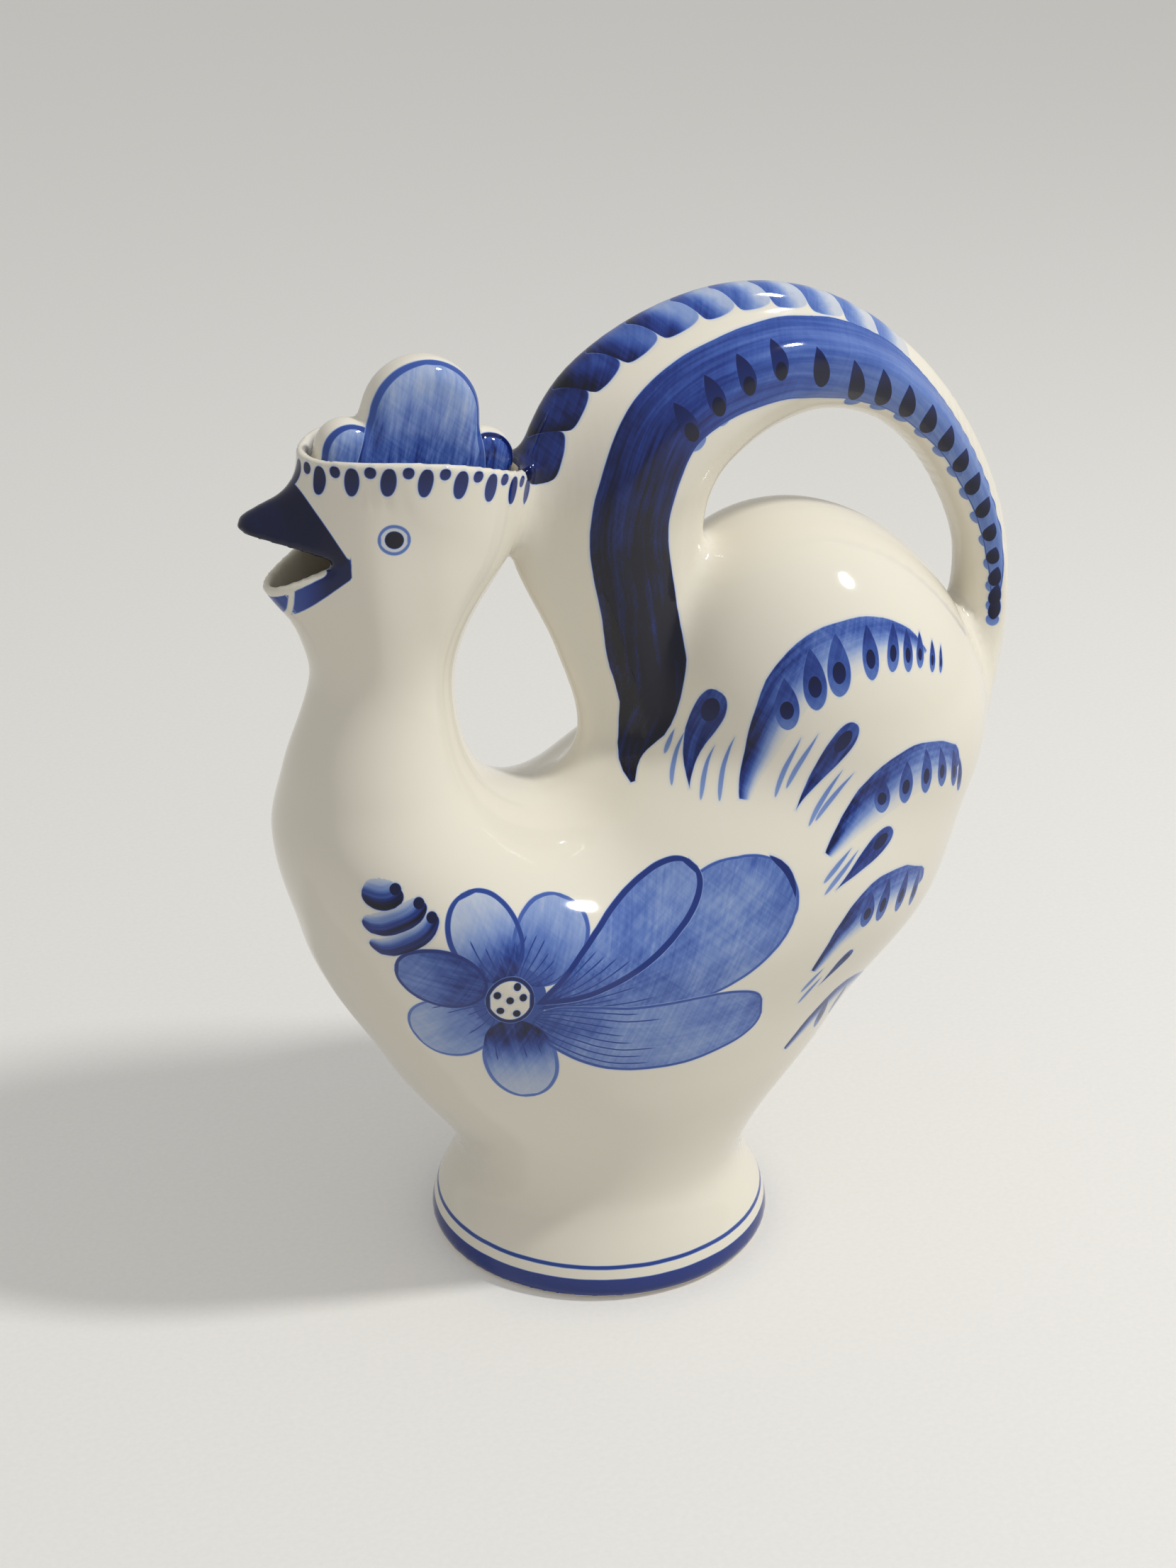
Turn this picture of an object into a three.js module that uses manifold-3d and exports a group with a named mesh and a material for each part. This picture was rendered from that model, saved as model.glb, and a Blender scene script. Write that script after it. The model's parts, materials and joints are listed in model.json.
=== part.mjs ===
// A ceramic carafe in the shape of a rooster: one hollow casting and a loose comb that closes its mouth.
// Millimetres, +Z up. The bird looks along -X, its tail is at +X, and Y = 0 is its plane of symmetry.
// Forms are set out from the foot's axis; the last step centres the footprint on the origin.

import * as THREE from 'three';
import { mergeVertices } from 'three/addons/utils/BufferGeometryUtils.js';
import Module from 'manifold-3d';

const wasm = await Module();
wasm.setup();

// Casting and fits
const WALL = 4;
const FLOOR = 7;
const LID_CLEARANCE = 0.5;

// Foot and stem, round about the foot's axis
const FOOT_RADIUS = 46.8;
const FOOT_BAND = 8;
const FOOT_EDGE = 2;
const FOOT_RING = 8;
const FOOT_RECESS = 2.5;
const WAIST_RADIUS = 39.5;
const WAIST_HEIGHT = 27;

// Underbelly: the level halfway up from the waist, where the stem has opened to an oval
const UNDER_HEIGHT = 62.5;
const UNDER_FRONT = 60;
const UNDER_BACK = 67.3;
const UNDER_SIDE = 47.3;

// Belly: widest level of the body and the low dome that closes it under neck and rump
const BELLY_HEIGHT = 98;
const BELLY_FRONT = 79;
const BELLY_BACK = 91;
const BELLY_SIDE = 52;
const BELLY_TOP = 129;

// Rump: an ellipsoid that leans forward, its top is the hump under the handle
const RUMP_X = 61;
const RUMP_Z = 140;
const RUMP_LONG = 63;
const RUMP_SHORT = 47;
const RUMP_DEEP = 48;
const RUMP_SIDE = 45;
const RUMP_LEAN = 22;

// Flank: an ellipsoid that fills the sides between belly, saddle and rump
const FLANK_X = 36;
const FLANK_Z = 110;
const FLANK_LONG = 55;
const FLANK_TALL = 37;
const FLANK_SIDE = 50;

// Fillets where the forms run into each other, and the domes that close the neck's form inside the body
const RUMP_FILLET = 24;
const FLANK_FILLET = 14;
const NECK_FILLET = 30;
const NECK_ROOT = 30;
const HEAD_CAP = 10;

// Head: its mouth lies in a frame that tips back, where the comb lid slides in and out
const MOUTH_X = -49;
const MOUTH_Z = 225.5;
const MOUTH_TIP = 10;
const MOUTH_LENGTH = 58;
const MOUTH_WIDTH = 42;
const RIM_WAVE = 5;
const RIM_WALL = 2.8;
const SEAT_DEPTH = 7;
const SEAT_LEDGE = 2.6;
const SEAT_THICK = 4;
const CUT_MARGIN = 30;

// Comb lid
const PLATE_THICK = 4;
const COLLAR_DEPTH = 8;
const COLLAR_WALL = 3.5;
const COMB_ROUND = 3.5;
const CREST_THICK = 13;
const CREST_RADIUS = 14.5;
const CREST_HEIGHT = 11;
const CREST_FLARE = 10;
const LOBE_THICK = 12;
const LOBE_RADIUS = 7.5;
const LOBE_HEIGHT = 1.5;

// Neck and head: reach of the front and the back from the foot's axis and half the width, level by level
const NECK = [
  { z: 88, front: -50, back: -12, side: 30 },
  { z: 110, front: -77, back: -18, side: 40 },
  { z: 128, front: -86.5, back: -27, side: 37 },
  { z: 146, front: -84.5, back: -37, side: 27 },
  { z: 166, front: -78, back: -41, side: 19 },
  { z: 182, front: -74.5, back: -38, side: 18 },
  { z: 202, front: -73.5, back: -25.5, side: 19.5 },
  { z: 222, front: -76.5, back: -20.5, side: MOUTH_WIDTH / 2 },
  { z: 242, front: -78.5, back: -17.5, side: MOUTH_WIDTH / 2 + 1 },
];

// Tail plume: points of its outer and its inner edge in the plane of symmetry and half its width
const ARCH_TOP = 260;
const ARCH_UNDER = 226;
const TAIL_REACH = 119.5;
const PLUME = [
  { outer: [-17, 124], inner: [44, 110], side: 18 },
  { outer: [-6, 146], inner: [33, 144], side: 14 },
  { outer: [-12, 170], inner: [27, 176], side: 13 },
  { outer: [-24, 198], inner: [27, 200], side: 15 },
  { outer: [-22, 220], inner: [30, 212], side: 18 },
  { outer: [-10.5, ARCH_TOP - 19], inner: [37, ARCH_UNDER - 7], side: 18.5 },
  { outer: [12, ARCH_TOP - 5], inner: [47, ARCH_UNDER - 2], side: 17 },
  { outer: [38, ARCH_TOP], inner: [60, ARCH_UNDER], side: 15 },
  { outer: [64, ARCH_TOP - 6], inner: [75, ARCH_UNDER - 4], side: 13.5 },
  { outer: [88, ARCH_TOP - 23], inner: [88, ARCH_UNDER - 14], side: 12 },
  { outer: [TAIL_REACH - 13.5, 214], inner: [TAIL_REACH - 21.5, 198], side: 10.5 },
  { outer: [TAIL_REACH - 2.5, 188], inner: [TAIL_REACH - 14.5, 180], side: 10 },
  { outer: [TAIL_REACH, 162], inner: [TAIL_REACH - 15.5, 160], side: 11 },
  { outer: [TAIL_REACH - 3.5, 140], inner: [TAIL_REACH - 23.5, 140], side: 13 },
  { outer: [105, 116], inner: [86, 122], side: 13 },
];
const RIDGE_SHARE = 0.45;
const FEATHER_RELIEF = 0.8;
const TAIL_WALL = 5;
const TAIL_HOLLOW_SHARE = 0.62;

// Beak: the head drawn out to a thin-walled snout with a keel under it, and the gape cut across it
const BEAK_REACH = 93.5;
const BEAK_ROOT = 64;
const beakAt = (part) => -THREE.MathUtils.lerp(BEAK_ROOT, BEAK_REACH, part);
const SNOUT = [
  { x: beakAt(-0.4), top: 218, bottom: 178, side: 15 },
  { x: beakAt(0), top: 225, bottom: 170, side: 16.5 },
  { x: beakAt(0.24), top: 225.5, bottom: 172.5, side: 13.5 },
  { x: beakAt(0.41), top: 224.5, bottom: 177.5, side: 11 },
  { x: beakAt(0.58), top: 223, bottom: 187.5, side: 9 },
  { x: beakAt(0.75), top: 221.5, bottom: 194.5, side: 7 },
  { x: beakAt(0.83), top: 220.5, bottom: 198.5, side: 5.8 },
  { x: beakAt(0.93), top: 219.5, bottom: 208, side: 4.2 },
  { x: beakAt(1), top: 218, bottom: 214, side: 2 },
];
const SNOUT_WALL = 2.8;
const GAPE_CORNER = [beakAt(0.385), 205.4];
const GAPE_ROUND = 1.4;
const GAPE_UPPER = [-BEAK_REACH + 0.5, 213];
const GAPE_LOWER = [beakAt(0.82), 198];

// Smooth curve through values at rising places, flat beyond its ends
function curve(at, values, flatEnd = false) {
  const last = at.length - 1;
  const slope = at.map((_, i) => {
    const a = Math.max(i - 1, 0);
    const b = Math.min(i + 1, last);
    return flatEnd && i === last ? 0 : (values[b] - values[a]) / (at[b] - at[a]);
  });
  return (t) => {
    if (t <= at[0]) return values[0];
    if (t >= at[last]) return values[last];
    let i = 0;
    while (t > at[i + 1]) i++;
    const h = at[i + 1] - at[i];
    const u = (t - at[i]) / h;
    const rise = values[i + 1] - values[i];
    const c = 3 * rise - h * (2 * slope[i] + slope[i + 1]);
    const d = h * (slope[i] + slope[i + 1]) - 2 * rise;
    return values[i] + u * (h * slope[i] + u * (c + u * d));
  };
}

// Closed surface through rings of equal count, each closed end fanned from its middle
function loft(rings) {
  const count = rings[0].length;
  const points = rings.flat();
  const index = [];
  const turn = (j) => (j + 1) % count;
  for (let i = 0; i + 1 < rings.length; i++) {
    for (let j = 0; j < count; j++) {
      const a = i * count + j;
      const b = i * count + turn(j);
      index.push(a, b, b + count, a, b + count, a + count);
    }
  }
  const middle = (ring) => ring.reduce((sum, p) => sum.add(p), new THREE.Vector3()).divideScalar(count);
  const end = (rings.length - 1) * count;
  points.push(middle(rings[0]), middle(rings.at(-1)));
  for (let j = 0; j < count; j++) {
    index.push(points.length - 2, turn(j), j);
    index.push(points.length - 1, end + j, end + turn(j));
  }
  return new THREE.BufferGeometry().setFromPoints(points).setIndex(index);
}

// Solid of a geometry, turned face out where its rings ran the other way
function solid(geometry) {
  const bare = geometry.clone();
  bare.deleteAttribute('normal');
  bare.deleteAttribute('uv');
  const merged = mergeVertices(bare, 1e-3);
  const triVerts = new Uint32Array(merged.index.array);
  const vertProperties = merged.attributes.position.array;
  const made = new wasm.Manifold(new wasm.Mesh({ numProp: 3, vertProperties, triVerts }));
  if (made.volume() > 0) return made;
  for (let i = 0; i < triVerts.length; i += 3) {
    const swap = triVerts[i];
    triVerts[i] = triVerts[i + 1];
    triVerts[i + 1] = swap;
  }
  return new wasm.Manifold(new wasm.Mesh({ numProp: 3, vertProperties, triVerts }));
}

function geometryOf(made) {
  const mesh = made.getMesh();
  const geometry = new THREE.BufferGeometry();
  geometry.setAttribute('position', new THREE.BufferAttribute(new Float32Array(mesh.vertProperties), 3));
  geometry.setIndex(new THREE.BufferAttribute(mesh.triVerts, 1));
  geometry.computeVertexNormals();
  return geometry;
}

// Oval ring about Z, its height given level or as a function of x and y
function oval(halfX, halfY, height, count = 40) {
  return Array.from({ length: count }, (_, j) => {
    const angle = (2 * Math.PI * j) / count;
    const x = halfX * Math.cos(angle);
    const y = halfY * Math.sin(angle);
    return new THREE.Vector3(x, y, typeof height === 'function' ? height(x, y) : height);
  });
}

// Rings across X through stations with a top, a bottom and half a width
function alongX(stations, inset, rings, count) {
  const at = stations.map((s) => -s.x);
  const track = (key) => curve(at, stations.map((s) => s[key]));
  const top = track('top');
  const bottom = track('bottom');
  const side = track('side');
  return loft(Array.from({ length: rings }, (_, i) => {
    const t = share(at[0], at.at(-1) - inset, i / (rings - 1));
    const half = Math.max((top(t) - bottom(t)) / 2 - inset, 0.4);
    const wide = Math.max(side(t) - inset, 0.4);
    return oval(half, wide, 0, count).map((p) => new THREE.Vector3(-t, p.y, (top(t) + bottom(t)) / 2 + p.x));
  }));
}

// Distance to an ellipse or an ellipsoid, near enough close to its surface
function roundField(...parts) {
  const reach = Math.hypot(...parts.map(([d, r]) => d / r));
  const steep = Math.hypot(...parts.map(([d, r]) => d / (r * r)));
  return steep > 0 ? (reach * (reach - 1)) / steep : -Math.min(...parts.map((p) => p[1]));
}

// Smallest of two distances, rounded over a width where they are close: the fillet between two forms
function fuse(a, b, width) {
  const near = Math.max(width - Math.abs(a - b), 0) / width;
  return Math.min(a, b) - (near * near * width) / 4;
}

// Form with oval levels, closed below its first and above its last level by half ellipsoids
function stack(levels, below, above) {
  const at = levels.map((s) => s.z);
  const track = (key) => curve(at, levels.map((s) => s[key]), true);
  const front = track('front');
  const back = track('back');
  const side = track('side');
  return (x, y, z) => {
    const halfX = (back(z) - front(z)) / 2;
    const parts = [[x - (back(z) + front(z)) / 2, halfX], [y, side(z)]];
    if (z < at[0]) parts.push([z - at[0], below]);
    if (z > at.at(-1)) parts.push([z - at.at(-1), above]);
    return roundField(...parts);
  };
}

const round = (z, radius) => ({ z, front: -radius, back: radius, side: radius });
const share = (a, b, t) => THREE.MathUtils.lerp(a, b, t);
const belly = stack([
  round(-FOOT_BAND, FOOT_RADIUS - 2 * FOOT_EDGE),
  round(0, FOOT_RADIUS - FOOT_EDGE),
  round(FOOT_EDGE, FOOT_RADIUS),
  round(FOOT_BAND, FOOT_RADIUS - FOOT_EDGE / 2),
  round(WAIST_HEIGHT, WAIST_RADIUS),
  { z: UNDER_HEIGHT, front: -UNDER_FRONT, back: UNDER_BACK, side: UNDER_SIDE },
  { z: BELLY_HEIGHT, front: -BELLY_FRONT, back: BELLY_BACK, side: BELLY_SIDE },
], FOOT_EDGE, BELLY_TOP - BELLY_HEIGHT);
const neck = stack(NECK, NECK_ROOT, HEAD_CAP);
const lean = THREE.MathUtils.degToRad(RUMP_LEAN);
const rump = (x, y, z) => {
  const dx = x - RUMP_X;
  const dz = z - RUMP_Z;
  const up = dz * Math.cos(lean) - dx * Math.sin(lean);
  const across = dx * Math.cos(lean) + dz * Math.sin(lean);
  return roundField([up, up > 0 ? RUMP_LONG : RUMP_SHORT], [across, RUMP_DEEP], [y, RUMP_SIDE]);
};
const flank = (x, y, z) => roundField([x - FLANK_X, FLANK_LONG], [y, FLANK_SIDE], [z - FLANK_Z, FLANK_TALL]);
const bellyAndRump = (x, y, z) => fuse(belly(x, y, z), rump(x, y, z), RUMP_FILLET);
const trunk = (x, y, z) => fuse(bellyAndRump(x, y, z), flank(x, y, z), FLANK_FILLET);
const skin = (x, y, z) => fuse(trunk(x, y, z), neck(x, y, z), NECK_FILLET);

// Slope of a field, by small steps
function slopeOf(field, x, y, z) {
  const step = 0.2;
  return new THREE.Vector3(
    field(x + step, y, z) - field(x - step, y, z),
    field(x, y + step, z) - field(x, y - step, z),
    field(x, y, z + step) - field(x, y, z - step),
  ).divideScalar(2 * step);
}

// Even wall: the skin's distance divided by its slope, plus the wall
const lining = (x, y, z) => skin(x, y, z) / Math.max(slopeOf(skin, x, y, z).length(), 0.4) + WALL;

// Points of a surface spread evenly: each moves to the middle of its neighbours, then back onto the surface
function relax(points, faces, field, passes = 8) {
  const around = points.map(() => []);
  faces.forEach((face) => face.forEach((p, i) => around[p].push(face[(i + 1) % 4])));
  for (let pass = 0; pass < passes; pass++) {
    const middle = around.map((near) =>
      near.reduce((sum, q) => sum.add(points[q]), new THREE.Vector3()).divideScalar(near.length));
    points.forEach((p, i) => {
      p.copy(middle[i]);
      const slope = slopeOf(field, p.x, p.y, p.z);
      const step = field(p.x, p.y, p.z) / Math.max(slope.lengthSq(), 0.2);
      p.addScaledVector(slope, -THREE.MathUtils.clamp(step, -4, 4));
    });
  }
}

// Surface of a field over a grid: a point in each cell that it crosses, four points joined across each edge
function surface(field, xs, ys, zs) {
  const size = [xs.length, ys.length, zs.length];
  const at = (i, j, k) => (i * size[1] + j) * size[2] + k;
  const value = new Float64Array(size[0] * size[1] * size[2]);
  xs.forEach((x, i) => ys.forEach((y, j) => zs.forEach((z, k) => (value[at(i, j, k)] = field(x, y, z)))));
  const point = new Map();
  const points = [];
  const faces = [];
  const grid = [xs, ys, zs];
  const unit = [[1, 0, 0], [0, 1, 0], [0, 0, 1]];
  const eachCell = (visit) => {
    for (let i = 0; i + 1 < size[0]; i++)
      for (let j = 0; j + 1 < size[1]; j++)
        for (let k = 0; k + 1 < size[2]; k++) visit([i, j, k]);
  };
  eachCell((cell) => {
    const sum = new THREE.Vector3();
    let crossings = 0;
    for (let axis = 0; axis < 3; axis++) {
      const [u, v] = [(axis + 1) % 3, (axis + 2) % 3];
      for (let corner = 0; corner < 4; corner++) {
        const from = cell.map((c, d) => c + unit[u][d] * (corner & 1) + unit[v][d] * (corner >> 1));
        const to = from.map((c, d) => c + unit[axis][d]);
        const a = value[at(...from)];
        const b = value[at(...to)];
        if (a < 0 === b < 0) continue;
        const place = from.map((c, d) => share(grid[d][c], grid[d][to[d]], a / (a - b)));
        sum.add(new THREE.Vector3(...place));
        crossings++;
      }
    }
    if (!crossings) return;
    point.set(at(...cell), points.push(sum.divideScalar(crossings)) - 1);
  });
  eachCell((cell) => {
    for (let axis = 0; axis < 3; axis++) {
      const [u, v] = [(axis + 1) % 3, (axis + 2) % 3];
      if (!cell[u] || !cell[v]) continue;
      const a = value[at(...cell)];
      const b = value[at(...cell.map((c, d) => c + unit[axis][d]))];
      if (a < 0 === b < 0) continue;
      const around = [[0, 0], [1, 0], [1, 1], [0, 1]].map(([du, dv]) =>
        point.get(at(...cell.map((c, d) => c - unit[u][d] * du - unit[v][d] * dv))));
      if (a > 0) around.reverse();
      faces.push(around);
    }
  });
  relax(points, faces, field);
  const index = faces.flatMap(([p, q, r, s]) => {
    const short = points[p].distanceTo(points[r]) < points[q].distanceTo(points[s]);
    return short ? [p, q, r, p, r, s] : [p, q, s, q, r, s];
  });
  return new THREE.BufferGeometry().setFromPoints(points).setIndex(index);
}

// Grid lines through knots, each stretch cut into even steps near the wanted size
function lines(knots, sizes) {
  const out = [knots[0]];
  for (let i = 0; i + 1 < knots.length; i++) {
    const steps = Math.max(Math.round((knots[i + 1] - knots[i]) / sizes[i]), 1);
    for (let s = 1; s <= steps; s++) out.push(share(knots[i], knots[i + 1], s / steps));
  }
  return out;
}

// Mouth frame: origin in the middle of the mouth, Z along the way the lid slides
const mouth = new THREE.Matrix4()
  .makeTranslation(MOUTH_X, 0, MOUTH_Z)
  .multiply(new THREE.Matrix4().makeRotationY(THREE.MathUtils.degToRad(MOUTH_TIP)));
const inMouth = (geometry) => solid(geometry.applyMatrix4(mouth));
const rimHeight = (x, y) => RIM_WAVE * Math.min((2 * y) / MOUTH_WIDTH, 1.1) ** 2;
const boreX = MOUTH_LENGTH / 2 - RIM_WALL;
const boreY = MOUTH_WIDTH / 2 - RIM_WALL;
const throatX = boreX - SEAT_LEDGE;
const throatY = boreY - SEAT_LEDGE;

// Everything above the wavy rim
const pastRim = [0.15, 0.55, 1, 1.5].map((k) => [(k * MOUTH_LENGTH) / 2, (k * MOUTH_WIDTH) / 2]);
const aboveRim = inMouth(loft([
  ...pastRim.map((half) => oval(...half, rimHeight)),
  oval(...pastRim.at(-1), CUT_MARGIN),
]));
// Mouth above the ledge that the lid rests on, and the throat below it
const bore = inMouth(loft([oval(boreX, boreY, -SEAT_DEPTH), oval(boreX + 1, boreY + 1, CUT_MARGIN)]));
const throat = inMouth(loft([
  oval(throatX, throatY, -SEAT_DEPTH - 3 * SEAT_THICK),
  oval(throatX, throatY, CUT_MARGIN),
]));

// Plume: each section is widest at the feather on its flank and draws in to a ridge along its outer edge
function plume(inset, from, to, rings, count) {
  const at = PLUME.map((_, i) => i / (PLUME.length - 1));
  const track = (pick) => curve(at, PLUME.map(pick));
  const outer = [track((s) => s.outer[0]), track((s) => s.outer[1])];
  const inner = [track((s) => s.inner[0]), track((s) => s.inner[1])];
  const side = track((s) => s.side);
  return loft(Array.from({ length: rings }, (_, i) => {
    const t = share(from, to, i / (rings - 1));
    const far = new THREE.Vector3(outer[0](t), 0, outer[1](t));
    const near = new THREE.Vector3(inner[0](t), 0, inner[1](t));
    const middle = far.clone().add(near).divideScalar(2);
    const axis = far.clone().sub(near).divideScalar(2);
    const half = axis.length();
    axis.divideScalar(half);
    const wide = Math.max(side(t) - inset, 0.6);
    return Array.from({ length: count }, (_, j) => {
      const angle = (2 * Math.PI * j) / count;
      const along = Math.cos(angle);
      const ridge = 1 - RIDGE_SHARE * THREE.MathUtils.smoothstep(along, 0.1, 0.75);
      const onFeather = THREE.MathUtils.smoothstep(0.55 - Math.abs(along + 0.15), 0, 0.2);
      const feather = inset ? 0 : FEATHER_RELIEF * onFeather;
      const bulge = Math.sign(Math.sin(angle)) * Math.abs(Math.sin(angle)) ** 0.8;
      const y = bulge * (wide * ridge + feather);
      return middle.clone().addScaledVector(axis, along * Math.max(half - inset, 0.6)).setY(y);
    });
  }));
}

// Gape: a wedge across the snout with a round corner, its edges the lines of the upper and the lower beak
function gapeOutline() {
  const shape = new THREE.Shape();
  const out = ([x, z]) => [x + (x - GAPE_CORNER[0]), z + (z - GAPE_CORNER[1])];
  shape.moveTo(GAPE_CORNER[0], GAPE_CORNER[1] + GAPE_ROUND);
  shape.quadraticCurveTo(share(GAPE_CORNER[0], GAPE_UPPER[0], 0.5), GAPE_UPPER[1] - 3, ...GAPE_UPPER);
  shape.lineTo(...out(GAPE_UPPER));
  shape.lineTo(...out(GAPE_LOWER));
  shape.lineTo(...GAPE_LOWER);
  shape.lineTo(GAPE_CORNER[0], GAPE_CORNER[1] - GAPE_ROUND);
  shape.absarc(...GAPE_CORNER, GAPE_ROUND, -Math.PI / 2, Math.PI / 2, false);
  return shape;
}
const across = { depth: MOUTH_WIDTH, bevelEnabled: false, curveSegments: 6 };
const gape = solid(new THREE.ExtrudeGeometry(gapeOutline(), across)
  .translate(0, 0, -MOUTH_WIDTH / 2)
  .rotateX(Math.PI / 2));

// Casting: skin cut at the rim, with plume, beak and wattle joined on, then hollowed
const front = -BEAK_REACH - 2.5;
const back = TAIL_REACH + 6.5;
const wide = BELLY_SIDE + 8;
const headTop = NECK.at(-1).z + HEAD_CAP;
const cast = solid(surface(
  skin,
  lines([front, -14, back], [6.5, 8]),
  lines([-wide, 0, wide], [7.5, 7.5]),
  lines([-1.5 * FOOT_BAND, WAIST_HEIGHT / 2, BELLY_HEIGHT, RUMP_Z + 20, headTop], [4.4, 9, 7.5, 6.5]),
));
const hollow = solid(surface(
  (x, y, z) => Math.max(lining(x, y, z), FLOOR - z),
  lines([front, back], [10]),
  lines([-wide, wide], [10]),
  lines([-FLOOR / 2, 120, headTop], [11, 9]),
));
const ledgeRoom = inMouth(loft([
  oval(MOUTH_LENGTH, MOUTH_LENGTH, -SEAT_DEPTH - SEAT_THICK),
  oval(MOUTH_LENGTH, MOUTH_LENGTH, 2 * CUT_MARGIN),
]));
const ringInside = FOOT_RADIUS - FOOT_RING;
const recess = solid(loft([
  oval(ringInside, ringInside, -1),
  oval(ringInside - 1, ringInside - 1, FOOT_RECESS),
]));
const slab = 4 * FOOT_RADIUS;
const ground = solid(new THREE.BoxGeometry(slab, slab, slab).translate(0, 0, -slab / 2));
const body = cast
  .subtract(aboveRim)
  .add(solid(alongX(SNOUT, 0, 14, 24)))
  .add(solid(plume(0, 0, 1, 40, 22)))
  .subtract(hollow.subtract(ledgeRoom))
  .subtract(solid(plume(TAIL_WALL, 0, TAIL_HOLLOW_SHARE, 16, 14)))
  .subtract(bore)
  .subtract(throat)
  .subtract(solid(alongX(SNOUT.slice(1), SNOUT_WALL, 12, 18)).subtract(ledgeRoom))
  .subtract(gape)
  .subtract(recess)
  .subtract(ground);

// Lobe of the comb in the mouth frame: a round top whose sides run down into the plate, all its edges rounded
function combLobe(middle, height, radius, flare, thick) {
  const lean = THREE.MathUtils.degToRad(flare);
  const tight = radius - COMB_ROUND;
  const foot = -SEAT_DEPTH + PLATE_THICK / 2 + COMB_ROUND;
  const root = tight / Math.cos(lean) + (height - foot) * Math.tan(lean);
  const shape = new THREE.Shape();
  shape.moveTo(middle + root, foot);
  shape.absarc(middle, height, tight, lean, Math.PI - lean, false);
  shape.lineTo(middle - root, foot);
  shape.closePath();
  const rounded = new THREE.ExtrudeGeometry(shape, {
    depth: thick - 2 * COMB_ROUND,
    bevelThickness: COMB_ROUND,
    bevelSize: COMB_ROUND,
    bevelSegments: 3,
    curveSegments: 12,
  });
  return inMouth(rounded.translate(0, 0, COMB_ROUND - thick / 2).rotateX(Math.PI / 2));
}

const seated = -SEAT_DEPTH + LID_CLEARANCE / 2;
const plateX = boreX - LID_CLEARANCE;
const plateY = boreY - LID_CLEARANCE;
const collarX = throatX - LID_CLEARANCE;
const collarY = throatY - LID_CLEARANCE;
const lobeReach = plateX - LID_CLEARANCE - LOBE_RADIUS;
const lid = combLobe(0, CREST_HEIGHT, CREST_RADIUS, CREST_FLARE, CREST_THICK)
  .add(combLobe(-lobeReach, LOBE_HEIGHT, LOBE_RADIUS, 0, LOBE_THICK))
  .add(combLobe(lobeReach, LOBE_HEIGHT, LOBE_RADIUS, 0, LOBE_THICK))
  .add(inMouth(loft([oval(plateX, plateY, seated), oval(plateX, plateY, seated + PLATE_THICK)])))
  .add(inMouth(loft([oval(collarX, collarY, seated - COLLAR_DEPTH), oval(collarX, collarY, seated + 1)])))
  .subtract(inMouth(loft([
    oval(collarX - COLLAR_WALL, collarY - COLLAR_WALL, seated - COLLAR_DEPTH - 1),
    oval(collarX - COLLAR_WALL, collarY - COLLAR_WALL, seated),
  ])));

const glaze = new THREE.MeshStandardMaterial({ color: 0xe9e6df, roughness: 0.12, metalness: 0 });
const cobalt = new THREE.MeshStandardMaterial({ color: 0x5c78b4, roughness: 0.12, metalness: 0 });
const carafe = new THREE.Group();
const piece = (name, made, material) => {
  const mesh = new THREE.Mesh(geometryOf(made), material);
  mesh.name = name;
  carafe.add(mesh);
};
piece('carafe_body', body, glaze);
piece('comb_lid', lid, cobalt);

// Footprint centred on the origin
const extent = new THREE.Box3().setFromObject(carafe);
carafe.position.x = -(extent.min.x + extent.max.x) / 2;
const part = new THREE.Group();
part.add(carafe);
export default part;
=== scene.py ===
# %% [markdown]
# # A blue and white rooster carafe
# The real object is a slip-cast earthenware jug, painted by brush in cobalt and dipped in a clear
# glaze. It has two pieces: the hollow bird, whose tail arches over as the handle, and its comb,
# which lifts out of the head as the lid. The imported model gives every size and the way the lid
# slides. This lesson gives both pieces their soft, glazed skin and paints them stroke by stroke,
# the way the painter did.

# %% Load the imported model
import json
import math
import bpy
import numpy as np
from mathutils import Matrix, Vector

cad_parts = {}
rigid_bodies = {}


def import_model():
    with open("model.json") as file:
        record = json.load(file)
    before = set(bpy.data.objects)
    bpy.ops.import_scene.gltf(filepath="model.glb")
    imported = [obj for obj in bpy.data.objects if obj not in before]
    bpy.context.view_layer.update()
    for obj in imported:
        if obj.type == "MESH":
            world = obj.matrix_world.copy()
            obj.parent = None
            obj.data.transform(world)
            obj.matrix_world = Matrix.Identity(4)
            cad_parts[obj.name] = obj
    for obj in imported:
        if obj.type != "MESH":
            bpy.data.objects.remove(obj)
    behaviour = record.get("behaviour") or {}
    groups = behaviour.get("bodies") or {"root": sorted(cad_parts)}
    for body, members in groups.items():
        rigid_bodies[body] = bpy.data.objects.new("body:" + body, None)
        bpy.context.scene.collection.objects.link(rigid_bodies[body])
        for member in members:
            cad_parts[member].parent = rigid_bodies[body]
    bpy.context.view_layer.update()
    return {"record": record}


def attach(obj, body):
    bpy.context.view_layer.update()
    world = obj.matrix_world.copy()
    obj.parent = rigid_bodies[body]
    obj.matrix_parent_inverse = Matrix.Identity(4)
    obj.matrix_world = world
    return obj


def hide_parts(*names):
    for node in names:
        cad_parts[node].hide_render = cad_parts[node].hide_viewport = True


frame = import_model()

MM = 0.001
FOOT_AXIS = frame["record"]["mounts"][0]["pos_m"][0] / MM

# %% [markdown]
# ## Forms as distances
# A casting has no seams between belly, neck and rump: one form runs into the next. A polygon cage
# could follow that, but it would need hundreds of points set by hand. Here each form is a function
# that gives the distance of any place to its surface, negative inside. Two forms are joined by
# taking the smaller distance, rounded where both are close, and that rounding is the fillet. All
# lengths in these cells are millimetres from the axis of the round foot.

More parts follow.
